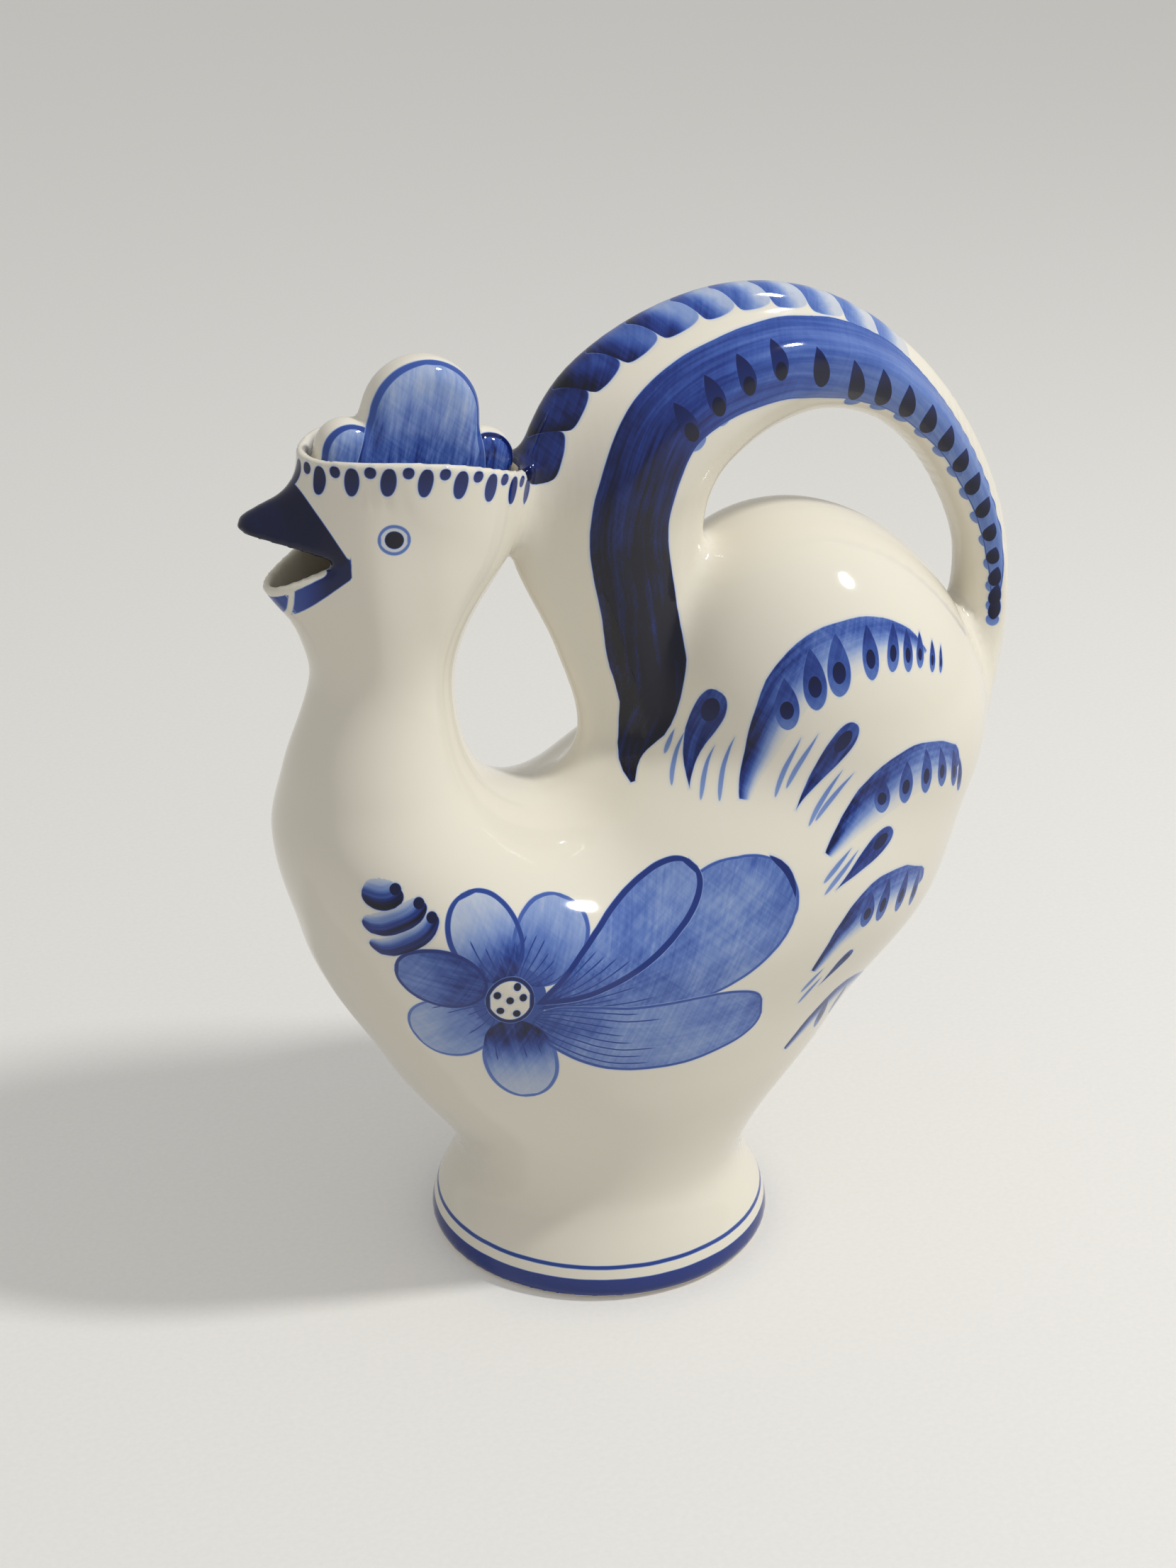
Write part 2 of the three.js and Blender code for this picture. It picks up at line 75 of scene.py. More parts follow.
# %% Helpers for distance fields
def curve(at, values, flat_end=False):
    """Smooth curve through values at rising places, level beyond its ends."""
    at = np.asarray(at, float)
    values = np.asarray(values, float)
    before = np.maximum(np.arange(len(at)) - 1, 0)
    after = np.minimum(np.arange(len(at)) + 1, len(at) - 1)
    slope = (values[after] - values[before]) / (at[after] - at[before])
    if flat_end:
        slope[-1] = 0

    def read(t):
        t = np.clip(t, at[0], at[-1])
        i = np.clip(np.searchsorted(at, t, side="right") - 1, 0, len(at) - 2)
        step = at[i + 1] - at[i]
        u = (t - at[i]) / step
        rise = values[i + 1] - values[i]
        square = 3 * rise - step * (2 * slope[i] + slope[i + 1])
        cube = step * (slope[i] + slope[i + 1]) - 2 * rise
        return values[i] + u * (step * slope[i] + u * (square + u * cube))
    return read


def round_field(*parts):
    """Distance to an ellipse or ellipsoid, from pairs of offset and radius, true close to its surface."""
    reach = np.sqrt(sum((d / r) ** 2 for d, r in parts))
    steep = np.sqrt(sum((d / r ** 2) ** 2 for d, r in parts))
    return reach * (reach - 1) / np.maximum(steep, 1e-4)


def fuse(a, b, width):
    """Join of two forms with a fillet."""
    near = np.maximum(width - np.abs(a - b), 0) / width
    return np.minimum(a, b) - near ** 2 * width / 4


def cut(a, tool, width):
    """Form a without the tool, its new edge rounded over a width."""
    return -fuse(-a, tool, width)


def stack(levels, below, above):
    """Form with oval levels (height, front, back, half width), closed by domes below and above."""
    height, front, back, side = np.array(levels, float).T
    tracks = [curve(height, values, flat_end=True) for values in (front, back, side)]

    def form(x, y, z):
        f, b, s = (track(z) for track in tracks)
        beyond = np.where(z < height[0], z - height[0], np.maximum(z - height[-1], 0))
        dome = np.where(z < height[0], below, above)
        return round_field((x - (f + b) / 2, (b - f) / 2), (y, s), (beyond, dome))
    return form


def smoothstep(value, low, high):
    t = np.clip((value - low) / (high - low), 0, 1)
    return t * t * (3 - 2 * t)


print("where two forms meet, a fillet of 24 mm fills in", float(-fuse(0.0, 0.0, 24.0)), "mm")

# %% [markdown]
# ## Trunk, neck and head
# The body starts as a round foot, opens to an oval belly and carries a leaning rump under the tail.
# The neck is a second stack of ovals that ends in the cup of the head. These are the sizes of the
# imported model, so the smooth skin lies on its facets. Only the wall is thicker here, because a thin
# one would need a finer grid.

# %% Trunk and neck
WALL = 5.2
FLOOR = 7.0
FOOT_RADIUS, FOOT_BAND, FOOT_EDGE = 46.8, 8.0, 2.0
FOOT_RING, FOOT_RECESS = 8.0, 2.5
WAIST_RADIUS, WAIST_HEIGHT = 39.5, 27.0
MOUTH_LENGTH, MOUTH_WIDTH = 58.0, 42.0


def circle(z, radius):
    return (z, -radius, radius, radius)


belly = stack([
    circle(-FOOT_BAND, FOOT_RADIUS - 2 * FOOT_EDGE),
    circle(0, FOOT_RADIUS - FOOT_EDGE),
    circle(FOOT_EDGE, FOOT_RADIUS),
    circle(FOOT_BAND, FOOT_RADIUS - FOOT_EDGE / 2),
    circle(WAIST_HEIGHT, WAIST_RADIUS),
    (62.5, -60, 67.3, 47.3),
    (98, -79, 91, 52),
], FOOT_EDGE, 31)
neck = stack([
    (88, -50, -12, 30),
    (110, -77, -18, 40),
    (128, -86.5, -27, 37),
    (146, -84.5, -37, 27),
    (166, -78, -41, 19),
    (182, -74.5, -38, 18),
    (202, -73.5, -25.5, 19.5),
    (222, -76.5, -20.5, MOUTH_WIDTH / 2),
    (242, -78.5, -17.5, MOUTH_WIDTH / 2 + 1),
], 30, 10)
RUMP_PLACE, RUMP_LEAN = (61, 140), math.radians(22)
RUMP_ABOVE, RUMP_BELOW, RUMP_LONG, RUMP_SIDE = 63, 47, 48, 45
FLANK = [(36, 55), (0, 50), (110, 37)]
RUMP_FILLET, FLANK_FILLET, NECK_FILLET = 24, 14, 30


def rump(x, y, z):
    dx = x - RUMP_PLACE[0]
    dz = z - RUMP_PLACE[1]
    up = dz * math.cos(RUMP_LEAN) - dx * math.sin(RUMP_LEAN)
    along = dx * math.cos(RUMP_LEAN) + dz * math.sin(RUMP_LEAN)
    return round_field((up, np.where(up > 0, RUMP_ABOVE, RUMP_BELOW)), (along, RUMP_LONG), (y, RUMP_SIDE))


def skin(x, y, z):
    flank = round_field(*((v - middle, radius) for v, (middle, radius) in zip((x, y, z), FLANK)))
    trunk = fuse(fuse(belly(x, y, z), rump(x, y, z), RUMP_FILLET), flank, FLANK_FILLET)
    return fuse(trunk, neck(x, y, z), NECK_FILLET)


print("belly at its widest level:", round(float(skin(0.0, 52.0, 98.0)), 2), "mm from the skin")

# %% [markdown]
# ## Tail plume
# The handle is a flat plume that rises from the saddle, arches over and comes down to the rump. It
# is set out in the plane of symmetry by pairs of points on its outer and inner edge. For any place
# the nearest pair gives two readings: how far along the plume it lies, and how far across. They
# give the form, and later the paint follows them too.

# %% Tail plume
PLUME = [
    # outer edge, inner edge, half width
    (-17, 124, 44, 110, 18),
    (-6, 146, 33, 144, 14),
    (-12, 170, 27, 176, 13),
    (-24, 198, 27, 200, 15),
    (-22, 220, 30, 212, 18),
    (-10.5, 241, 37, 219, 18.5),
    (12, 255, 47, 224, 17),
    (38, 260, 60, 226, 15),
    (64, 254, 75, 222, 13.5),
    (88, 237, 88, 212, 12),
    (106, 214, 98, 198, 10.5),
    (117, 188, 105, 180, 10),
    (119.5, 162, 104, 160, 11),
    (116, 140, 96, 140, 13),
    (105, 116, 86, 122, 13),
]
PLUME_SAMPLES = 601
plume_tracks = [curve(np.linspace(0, 1, len(PLUME)), column) for column in np.array(PLUME, float).T]
plume_at = np.linspace(0, 1, PLUME_SAMPLES)
plume_edge = np.stack([track(plume_at) for track in plume_tracks], 1)
plume_middle = (plume_edge[:, 0:2] + plume_edge[:, 2:4]) / 2
plume_axis = (plume_edge[:, 0:2] - plume_edge[:, 2:4]) / 2
plume_half = np.linalg.norm(plume_axis, axis=1)
plume_axis = plume_axis / plume_half[:, None]
print("plume of", len(PLUME), "sections, crown at", plume_edge[:, 1].max().round(1), "mm")

# %% Place on the plume
PLACES_AT_ONCE = 2000


def plume_place(x, z):
    """How far along the plume (0 to 1) and across it (-1 at its inner edge, 1 at its outer edge) places
    lie, and how far off its ends."""
    x, z = np.broadcast_arrays(x, z)
    flat = np.stack([x.ravel(), z.ravel()], 1)
    out = np.zeros((len(flat), 3))
    for start in range(0, len(flat), PLACES_AT_ONCE):
        rel = flat[start:start + PLACES_AT_ONCE, None] - plume_middle[None]
        across = (rel * plume_axis).sum(2) / plume_half
        off = rel[..., 0] * plume_axis[:, 1] - rel[..., 1] * plume_axis[:, 0]
        gap = off ** 2 + (np.maximum(np.abs(across) - 1, 0) * plume_half) ** 2
        i = gap.argmin(1)
        row = np.arange(len(i))
        best = np.stack([plume_at[i], across[row, i], np.abs(off[row, i])], 1)
        for side in (1, -1):
            j = np.clip(i + side, 0, PLUME_SAMPLES - 1)
            turned = off[row, i] * off[row, j] < 0
            share = np.where(turned, off[row, i] / np.where(turned, off[row, i] - off[row, j], 1), 0)
            moved = np.stack([
                plume_at[i] + share * (plume_at[j] - plume_at[i]),
                across[row, i] + share * (across[row, j] - across[row, i]),
                np.zeros(len(i)),
            ], 1)
            best = np.where(turned[:, None], moved, best)
        out[start:start + PLACES_AT_ONCE] = best
    return [column.reshape(x.shape) for column in out.T]


# %% Form of the plume
SECTION_POWER = 2.5
RIDGE_SHARE, FEATHER_RELIEF = 0.45, 0.8


def plume(place, y):
    """Distance to the plume. Each section is widest at its feather and draws in to a ridge along its
    outer edge."""
    t, across, off = place
    half = np.interp(t, plume_at, plume_half)
    reach = np.clip(across, -1, 1)
    ridge = 1 - RIDGE_SHARE * smoothstep(reach, 0.1, 0.75)
    relief = FEATHER_RELIEF * smoothstep(0.55 - np.abs(reach + 0.15), 0, 0.2)
    wide = plume_tracks[4](t) * ridge + relief
    q = np.abs(y) / wide
    level = across ** 2 + q ** SECTION_POWER - 1
    steep = np.sqrt((2 * across / half) ** 2 + (SECTION_POWER * q ** (SECTION_POWER - 1) / wide) ** 2)
    distance = level / np.maximum(steep, 1 / np.minimum(half, wide))
    return np.where(off > 0.01, np.hypot(np.maximum(distance, 0), off), distance)


crown = plume_place(np.array([38.0]), np.array([260.0]))
print("the crown lies", crown[0].round(2), "along the plume")

# %% [markdown]
# ## Beak and mouth
# The beak is the head drawn out to a thin snout, with the gape cut across it so that it pours. The
# rim of the head is a wave, and below it lies the ledge for the lid. The mouth has its own frame,
# tipped back by ten degrees, because the comb slides in and out along that line. The beak's upper
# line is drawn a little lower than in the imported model, as the real one has it.

# %% Beak, mouth and foot ring
BEAK_ROOT, BEAK_REACH = 64.0, 93.5
SNOUT = [
    # share of the beak's length, top, bottom, half width
    (-0.4, 218, 178, 15),
    (0, 225, 170, 16.5),
    (0.24, 225, 172.5, 13.5),
    (0.41, 223, 177.5, 11),
    (0.58, 221, 187.5, 9),
    (0.75, 219.3, 194.5, 7),
    (0.83, 218.4, 198.5, 5.8),
    (0.93, 217, 208, 4.2),
    (1, 215.6, 212.4, 2),
]
SNOUT_WALL = 2.8
SNOUT_TIP = 1.6
GAPE_ROUND = 1.4
GAPE_CORNER, GAPE_UPPER, GAPE_LOWER = (-75.4, 205.4), (-93.0, 213.0), (-88.2, 198.0)
MOUTH_X, MOUTH_Z, MOUTH_TIP = -49.0, 225.5, math.radians(10)
RIM_WAVE, RIM_WALL = 5.0, 2.8
SEAT_DEPTH, SEAT_LEDGE, SEAT_THICK = 7.0, 2.6, 4.0
BORE = (MOUTH_LENGTH / 2 - RIM_WALL, MOUTH_WIDTH / 2 - RIM_WALL)
THROAT = (BORE[0] - SEAT_LEDGE, BORE[1] - SEAT_LEDGE)
snout_at = [BEAK_ROOT + (BEAK_REACH - BEAK_ROOT) * row[0] for row in SNOUT]
snout_tracks = [curve(snout_at, [row[k] for row in SNOUT]) for k in (1, 2, 3)]


def snout(x, y, z, inset=0.0):
    ahead = -x
    top, bottom, side = (track(ahead) for track in snout_tracks)
    back_end = BEAK_ROOT if inset else snout_at[0]
    tip = BEAK_REACH - SNOUT_TIP - inset
    beyond = np.where(ahead > tip, ahead - tip, np.maximum(back_end - ahead, 0))
    dome = np.where(ahead > tip, SNOUT_TIP, 10)
    half = np.maximum((top - bottom) / 2 - inset, 0.8)
    return round_field((z - (top + bottom) / 2, half), (y, np.maximum(side - inset, 0.8)), (beyond, dome))


def gape(x, z):
    share = (GAPE_CORNER[0] - x) / (GAPE_CORNER[0] - GAPE_UPPER[0])
    u = np.clip(share, 0, 1)
    start = GAPE_CORNER[1] + GAPE_ROUND
    bend = GAPE_UPPER[1] - 3
    upper = (1 - u) ** 2 * start + 2 * u * (1 - u) * bend + u ** 2 * GAPE_UPPER[1]
    upper = upper + 2 * (GAPE_UPPER[1] - bend) * np.maximum(share - 1, 0)
    floor = GAPE_CORNER[1] - GAPE_ROUND
    lower = floor + (GAPE_LOWER[1] - floor) * (GAPE_CORNER[0] - x) / (GAPE_CORNER[0] - GAPE_LOWER[0])
    corner = np.hypot(x - GAPE_CORNER[0], z - GAPE_CORNER[1]) - GAPE_ROUND
    return np.where(x < GAPE_CORNER[0], np.maximum(z - upper, lower - z), corner)


def to_mouth(x, z):
    dx = x - MOUTH_X
    dz = z - MOUTH_Z
    return (dx * math.cos(MOUTH_TIP) - dz * math.sin(MOUTH_TIP),
            dx * math.sin(MOUTH_TIP) + dz * math.cos(MOUTH_TIP))


def rim_height(y):
    return RIM_WAVE * np.minimum(np.abs(2 * y / MOUTH_WIDTH), 1.1) ** 2


print("beak of", len(SNOUT), "sections, its tip at x =", -BEAK_REACH)

# %% [markdown]
# ## The whole casting
# Now the forms come together in the order a potter would think of them: the skin, cut at the rim,
# with beak and tail joined on, then hollowed to an even wall, with the mouth, the gape and the
# recess under the foot cut out. The root of the tail stays solid, which can't be seen from outside.
# Every cut has a small rounding, because glaze draws back from edges and leaves none of them sharp.

# %% Casting as one field
RIM_SOFT, GAPE_SOFT, FOOT_SOFT = 1.8, 1.2, 0.8
BEAK_FILLET, TAIL_FILLET = 9.0, 7.0
BEAK_WALL, BACK_WALL, WALL_CHANGE = 2.2, 4.4, (-66, -50)
FLARE_HEIGHT = 37


def outer_form(x, y, z, place):
    """Outside of the casting, before it is hollowed."""
    head = cut(skin(x, y, z), rim_height(y) - to_mouth(x, z)[1], RIM_SOFT)
    return fuse(fuse(head, snout(x, y, z), BEAK_FILLET), plume(place, y), TAIL_FILLET)


def casting(x, y, z, place, lines):
    """The whole body on a grid."""
    def true_depth(field):
        steep = np.sqrt(sum(g ** 2 for g in np.gradient(field, *lines)))
        return field / np.clip(steep, 0.4, 2)

    mx, mz = to_mouth(x, z)
    form = outer_form(x, y, z, place)
    below_seat = mz + SEAT_DEPTH + SEAT_THICK
    hollow = np.maximum(true_depth(skin(x, y, z)) + WALL, FLOOR - z)
    hollow = np.maximum(np.minimum(hollow, snout(x, y, z, SNOUT_WALL)), below_seat)
    least_wall = BEAK_WALL + (BACK_WALL - BEAK_WALL) * smoothstep(x, *WALL_CHANGE)
    hollow = np.maximum(hollow, true_depth(form) + least_wall)
    flare = np.clip((mz + SEAT_DEPTH) / FLARE_HEIGHT, 0, 1)
    bore = np.maximum(round_field((mx, BORE[0] + flare), (y, BORE[1] + flare)), -SEAT_DEPTH - mz)
    throat = np.maximum(round_field((mx, THROAT[0]), (y, THROAT[1])), -SEAT_DEPTH - 3 * SEAT_THICK - mz)
    form = cut(form, np.minimum(hollow, np.minimum(bore, throat)), RIM_SOFT)
    form = cut(form, gape(x, z), GAPE_SOFT)
    ring = np.hypot(x, y) - (FOOT_RADIUS - FOOT_RING - np.clip(z / FOOT_RECESS, 0, 1))
    form = cut(form, np.maximum(ring, z - FOOT_RECESS), FOOT_SOFT)
    return cut(form, z, FOOT_SOFT)


print("walls from", BEAK_WALL, "mm at the beak to", WALL, "mm at the belly")

# %% [markdown]
# ## From field to mesh
# The field is read on a grid that is finer at the head. Each grid cell that the surface crosses
# gets one point, and each grid edge that it crosses gets a quad of the four points around it. A few
# rounds of smoothing spread the points evenly, and after each round they step back onto the
# surface.

# %% Grid lines
def grid_lines(knots, sizes):
    """Grid lines through knots, each stretch cut into even steps near the wanted size."""
    out = [np.array(knots[:1], float)]
    for a, b, size in zip(knots[:-1], knots[1:], sizes):
        steps = max(round((b - a) / size), 1)
        out.append(np.linspace(a, b, steps + 1)[1:])
    return np.concatenate(out)


print("grid lines, for example", grid_lines([0, 3, 5], [1.5, 0.5]).tolist())


# %% Surface of a field
def crossed_cells(value, lines):
    """Points and quads where a field on a grid crosses zero."""
    inside = value < 0
    cells = np.array(value.shape) - 1
    total = np.zeros((cells.prod(), 3))
    count = np.zeros(cells.prod())
    quads = []
    unit = np.eye(3, dtype=int)
    for axis in range(3):
        u, v = unit[(axis + 1) % 3], unit[(axis + 2) % 3]
        n = value.shape[axis]
        crossing = np.take(inside, range(n - 1), axis) != np.take(inside, range(1, n), axis)
        low = np.argwhere(crossing)
        a = value[tuple(low.T)]
        b = value[tuple((low + unit[axis]).T)]
        place = np.stack([lines[k][low[:, k]] for k in range(3)], 1)
        span = lines[axis][low[:, axis] + 1] - lines[axis][low[:, axis]]
        place[:, axis] += span * a / (a - b)
        around = np.stack([low, low - u, low - u - v, low - v], 1)
        fits = ((around >= 0) & (around < cells)).all(2)
        flat = (around[..., 0] * cells[1] + around[..., 1]) * cells[2] + around[..., 2]
        for k in range(4):
            ok = fits[:, k]
            np.add.at(total, flat[ok, k], place[ok])
            np.add.at(count, flat[ok, k], 1)
        whole = fits.all(1)
        turned = np.where((a > 0)[:, None], flat[:, ::-1], flat)
        quads.append(turned[whole])
    used = count > 0
    number = np.cumsum(used) - 1
    return total[used] / count[used][:, None], number[np.concatenate(quads)]


# %% Smoothing over the surface
def read_grid(array, lines, points):
    """Value of a grid at points, linear between grid lines."""
    low, part = [], []
    for k in range(3):
        i = np.clip(np.searchsorted(lines[k], points[:, k]) - 1, 0, len(lines[k]) - 2)
        low.append(i)
        part.append((points[:, k] - lines[k][i]) / (lines[k][i + 1] - lines[k][i]))
    out = 0
    for corner in np.ndindex(2, 2, 2):
        weight = np.prod([p if c else 1 - p for p, c in zip(part, corner)], 0)
        out = out + weight * array[tuple(i + c for i, c in zip(low, corner))]
    return out


def settle(points, quads, value, lines, passes):
    """Smooths a surface over itself: to the middle of the neighbours, then back onto the surface."""
    slope = np.gradient(value, *lines)
    near = np.zeros(len(points))
    for k in range(4):
        near += np.bincount(quads[:, k], minlength=len(points))
    for _ in range(passes):
        middle = np.zeros_like(points)
        for k in range(4):
            for axis in range(3):
                ahead = points[quads[:, (k + 1) % 4], axis]
                middle[:, axis] += np.bincount(quads[:, k], ahead, len(points))
        points = middle / near[:, None]
        for _ in range(2):
            here = np.stack([read_grid(g, lines, points) for g in slope], 1)
            step = read_grid(value, lines, points) / np.maximum((here ** 2).sum(1), 0.2)
            points = points - np.clip(step, -1, 1)[:, None] * here
    return points, np.stack([read_grid(g, lines, points) for g in slope], 1)


# %% Body surface
SMOOTHING = 6
xs = grid_lines([-97, -68, -18, 123], [0.95, 1.4, 2.45])
half_ys = grid_lines([0, 15, 25, 57], [1.05, 1.25, 2.45])
ys = np.concatenate([-half_ys[:0:-1], half_ys])
zs = grid_lines([-3, 10, 190, 236, 263], [1.5, 2.45, 1.05, 2.3])
body_lines = [xs, ys, zs]
gx, gy, gz = xs[:, None, None], ys[None, :, None], zs[None, None, :]
body_value = casting(gx, gy, gz, plume_place(gx, gz), body_lines)
body_points, body_quads = crossed_cells(body_value, body_lines)
body_points, body_normals = settle(body_points, body_quads, body_value, body_lines, SMOOTHING)
print("body:", len(body_points), "points,", 2 * len(body_quads), "triangles")


# %% Mesh objects
def piece(name, points, quads):
    """A smooth mesh object at the origin. Its points move from the foot's axis to the part's frame, in
    metres."""
    mesh = bpy.data.meshes.new(name)
    mesh.from_pydata(((points + [FOOT_AXIS, 0, 0]) * MM).tolist(), [], quads.tolist())
    mesh.shade_smooth()
    obj = bpy.data.objects.new(name, mesh)
    bpy.context.scene.collection.objects.link(obj)
    return obj


body = piece("painted_body", body_points, body_quads)
print("body box", [round(v, 4) for v in body.dimensions])

# %% [markdown]
# ## Comb lid
# The lid is a flat oval plate with a collar below it and the comb on top: a tall lobe between two
# low ones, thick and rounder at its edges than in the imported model. It is made in the frame of the
# mouth and then tipped into place.

# %% Comb lid as one field
LID_CLEARANCE = 0.5
PLATE_THICK, COLLAR_DEPTH, COLLAR_WALL = 4.0, 8.0, 3.5
COMB_ROUND, LOBE_GROOVE = 5.5, 2.0
CREST_RADIUS, CREST_HEIGHT, CREST_THICK = 14.5, 11.0, 13.0
CREST_FLARE = math.radians(10)
LOBE_RADIUS, LOBE_HEIGHT, LOBE_THICK = 7.5, 1.5, 12.0
PLATE = [r - LID_CLEARANCE for r in BORE]
COLLAR = [r - LID_CLEARANCE for r in THROAT]
LOBE_REACH = PLATE[0] - LID_CLEARANCE - LOBE_RADIUS
SEATED = -SEAT_DEPTH + LID_CLEARANCE / 2
PLATE_FILLET, COLLAR_FILLET = 2, 1


def oval_slab(x, y, z, half_x, half_y, low, high):
    return np.maximum(round_field((x, half_x), (y, half_y)), np.maximum(low - z, z - high))


def comb_lobe(x, y, z, height, radius, flare, thick):
    """A round top whose sides run down to the plate, flaring, with all its edges rounded."""
    aside = np.abs(x)
    up = z - height
    sides = aside * math.cos(flare) + up * math.sin(flare)
    on_top = up * math.cos(flare) > aside * math.sin(flare)
    outline = np.where(on_top, np.hypot(aside, up), sides) - radius
    edge = np.maximum(outline + COMB_ROUND, 0)
    face = np.maximum(np.abs(y) - thick / 2 + COMB_ROUND, 0)
    return np.maximum(np.hypot(edge, face) - COMB_ROUND, SEATED - z)


def comb_lid(x, y, z):
    crest = comb_lobe(x, y, z, CREST_HEIGHT, CREST_RADIUS, CREST_FLARE, CREST_THICK)
    lobes = comb_lobe(np.abs(x) - LOBE_REACH, y, z, LOBE_HEIGHT, LOBE_RADIUS, 0, LOBE_THICK)
    comb = fuse(crest, lobes, LOBE_GROOVE)
    plate = oval_slab(x, y, z, *PLATE, SEATED, SEATED + PLATE_THICK)
    ring = oval_slab(x, y, z, *COLLAR, SEATED - COLLAR_DEPTH, SEATED + 1)
    well = oval_slab(x, y, z, *[r - COLLAR_WALL for r in COLLAR], SEATED - 2 * COLLAR_DEPTH, SEATED)
    return cut(fuse(fuse(comb, plate, PLATE_FILLET), ring, COLLAR_FILLET), well, COLLAR_FILLET)


print("the low lobes stand", round(LOBE_REACH, 2), "mm before and behind the middle of the crest")

# %% Comb lid surface
LID_STEP = 0.9
lid_lines = [grid_lines(span, [LID_STEP]) for span in ([-30, 30], [-22, 22], [-18, 29])]
lx, ly, lz = lid_lines[0][:, None, None], lid_lines[1][None, :, None], lid_lines[2][None, None, :]
lid_value = comb_lid(lx, ly, lz)
lid_points, lid_quads = crossed_cells(lid_value, lid_lines)
lid_points, lid_normals = settle(lid_points, lid_quads, lid_value, lid_lines, SMOOTHING)
tip = np.array(Matrix.Rotation(MOUTH_TIP, 3, "Y"))
lid = piece("painted_comb", lid_points @ tip.T + [MOUTH_X, 0, MOUTH_Z], lid_quads)
print("lid:", len(lid_points), "points,", 2 * len(lid_quads), "triangles")

# %% [markdown]
# ## Brushwork
# All the blue was laid on with a loaded brush, so every mark has the same make-up: a path over the
# skin, a half width that swells and tapers along it, and pigment that runs thin towards its end or
# one side. An image could hold the painting, but it would blur close up. Here each mark is a
# stroke, written with a few points on the bird's left side, and the right side mirrors it. A
# stroke's path is found by looking from outside at the skin behind each point.

# %% Paths on the skin
SIDEWAYS = np.array([0.0, 1.0, 0.0])
RAY_LENGTH, RAY_STEP = 70.0, 1.0
TRAIL_STEP = 2.5


def lift(start, heading, form):
    """Outermost places where rays from inside a form leave it."""
    ray = np.arange(RAY_LENGTH, -RAY_STEP, -RAY_STEP)
    places = start[:, None] + ray[:, None] * heading[:, None]
    value = form(*np.moveaxis(places, 2, 0))
    row = np.arange(len(start))
    first = np.maximum((value < 0).argmax(1), 1)
    inner, outer = value[row, first], value[row, first - 1]
    out = np.clip(inner / np.minimum(inner - outer, -1e-6), 0, 1) * RAY_STEP
    reached = places[row, first] + out[:, None] * heading
    return np.where((value < 0).any(1)[:, None], reached, start)


def trail(points):
    """Even steps along a smooth curve through points."""
    points = np.asarray(points, float)
    run = np.concatenate([[0], np.cumsum(np.linalg.norm(np.diff(points, axis=0), axis=1))])
    at = np.linspace(0, run[-1], max(round(run[-1] / TRAIL_STEP), 8) + 1)
    return np.stack([curve(run, column)(at) for column in points.T], 1)


def on_side(points):
    """Path on the side of the bird through points (x, z)."""
    flat = trail(points)
    place = [p[:, None] for p in plume_place(flat[:, 0], flat[:, 1])]
    start = np.stack([flat[:, 0], np.zeros(len(flat)), flat[:, 1]], 1)
    return lift(start, np.broadcast_to(SIDEWAYS, start.shape), lambda x, y, z: outer_form(x, y, z, place))


def on_plume(spots):
    """Path on the plume through spots (along, across)."""
    along, across = np.asarray(spots, float).T
    rows = [np.interp(along, plume_at, column) for column in (*plume_middle.T, *plume_axis.T, plume_half)]
    middle_x, middle_z, axis_x, axis_z, half = rows
    return on_side(np.stack([middle_x + axis_x * half * across, middle_z + axis_z * half * across], 1))


def round_head(angle, from_rim, to_rim):
    """Path down the outside of the head at an angle round its mouth, between two depths below the rim."""
    depth = np.linspace(from_rim, to_rim, 9)
    level = rim_height(MOUTH_WIDTH / 2 * math.sin(angle)) - depth
    start = np.stack([MOUTH_X + level * math.sin(MOUTH_TIP), 0 * level,
                      MOUTH_Z + level * math.cos(MOUTH_TIP)], 1)
    away = np.array([MOUTH_LENGTH * math.cos(angle) * math.cos(MOUTH_TIP),
                     MOUTH_WIDTH * math.sin(angle),
                     -MOUTH_LENGTH * math.cos(angle) * math.sin(MOUTH_TIP)])
    away = away / np.linalg.norm(away)
    return lift(start, np.broadcast_to(away, start.shape),
                lambda x, y, z: fuse(skin(x, y, z), snout(x, y, z), BEAK_FILLET))


print("a point on the breast lies at", on_side([(-43, 98), (-40, 98)])[0].round(1))

# %% [markdown]
# A stroke's half width follows the rule s^a (1 - s)^b along its length s, scaled to its widest
# place. Equal halves give a circle or an oval, a higher first number a pointed start, and two zeros
# a band with square ends. The tone runs from 0, bare glaze, to 1, pigment so thick that it fires
# almost black.

# %% One brush stroke
ROUND, DROP, ALMOND, BAND = (0.5, 0.5), (1.3, 0.4), (0.9, 0.55), (0.0, 0.0)
strokes = []


def stroke(path, half, tone, ends=ROUND, fade=0.0, streak=0.0, hatch=0.0, line=(0.0, 0.0), veins=0,
           cover=0.0, slant=0.0):
    """Adds a stroke. Half widths and tones are numbers or lists along it. Fade thins its right side,
    streak and hatch are traces of bristles along it and of turning across it, line is an outline's tone
    and width, veins are thin lines out of its start, a stroke that covers hides what is below it, and
    slant sets its sides back."""
    a, b = ends
    peak = a / (a + b) if a + b else 0.5
    strokes.append({
        "path": path, "half": np.atleast_1d(half) / (peak ** a * (1 - peak) ** b), "reach": np.max(half),
        "tone": np.atleast_1d(tone), "ends": ends, "cover": cover, "slant": slant,
        "load": (fade, streak, hatch, veins), "line": (*line, 0),
    })


def disc(centre, wide, high, tone, **more):
    """An oval, given by half its width along x and half its height."""
    x, z = centre
    stroke(on_side([(x - wide, z), (x + wide, z)]), high, tone, **more)


print("ends of a drop are shaped by", DROP, "and those of a dab by", ALMOND)

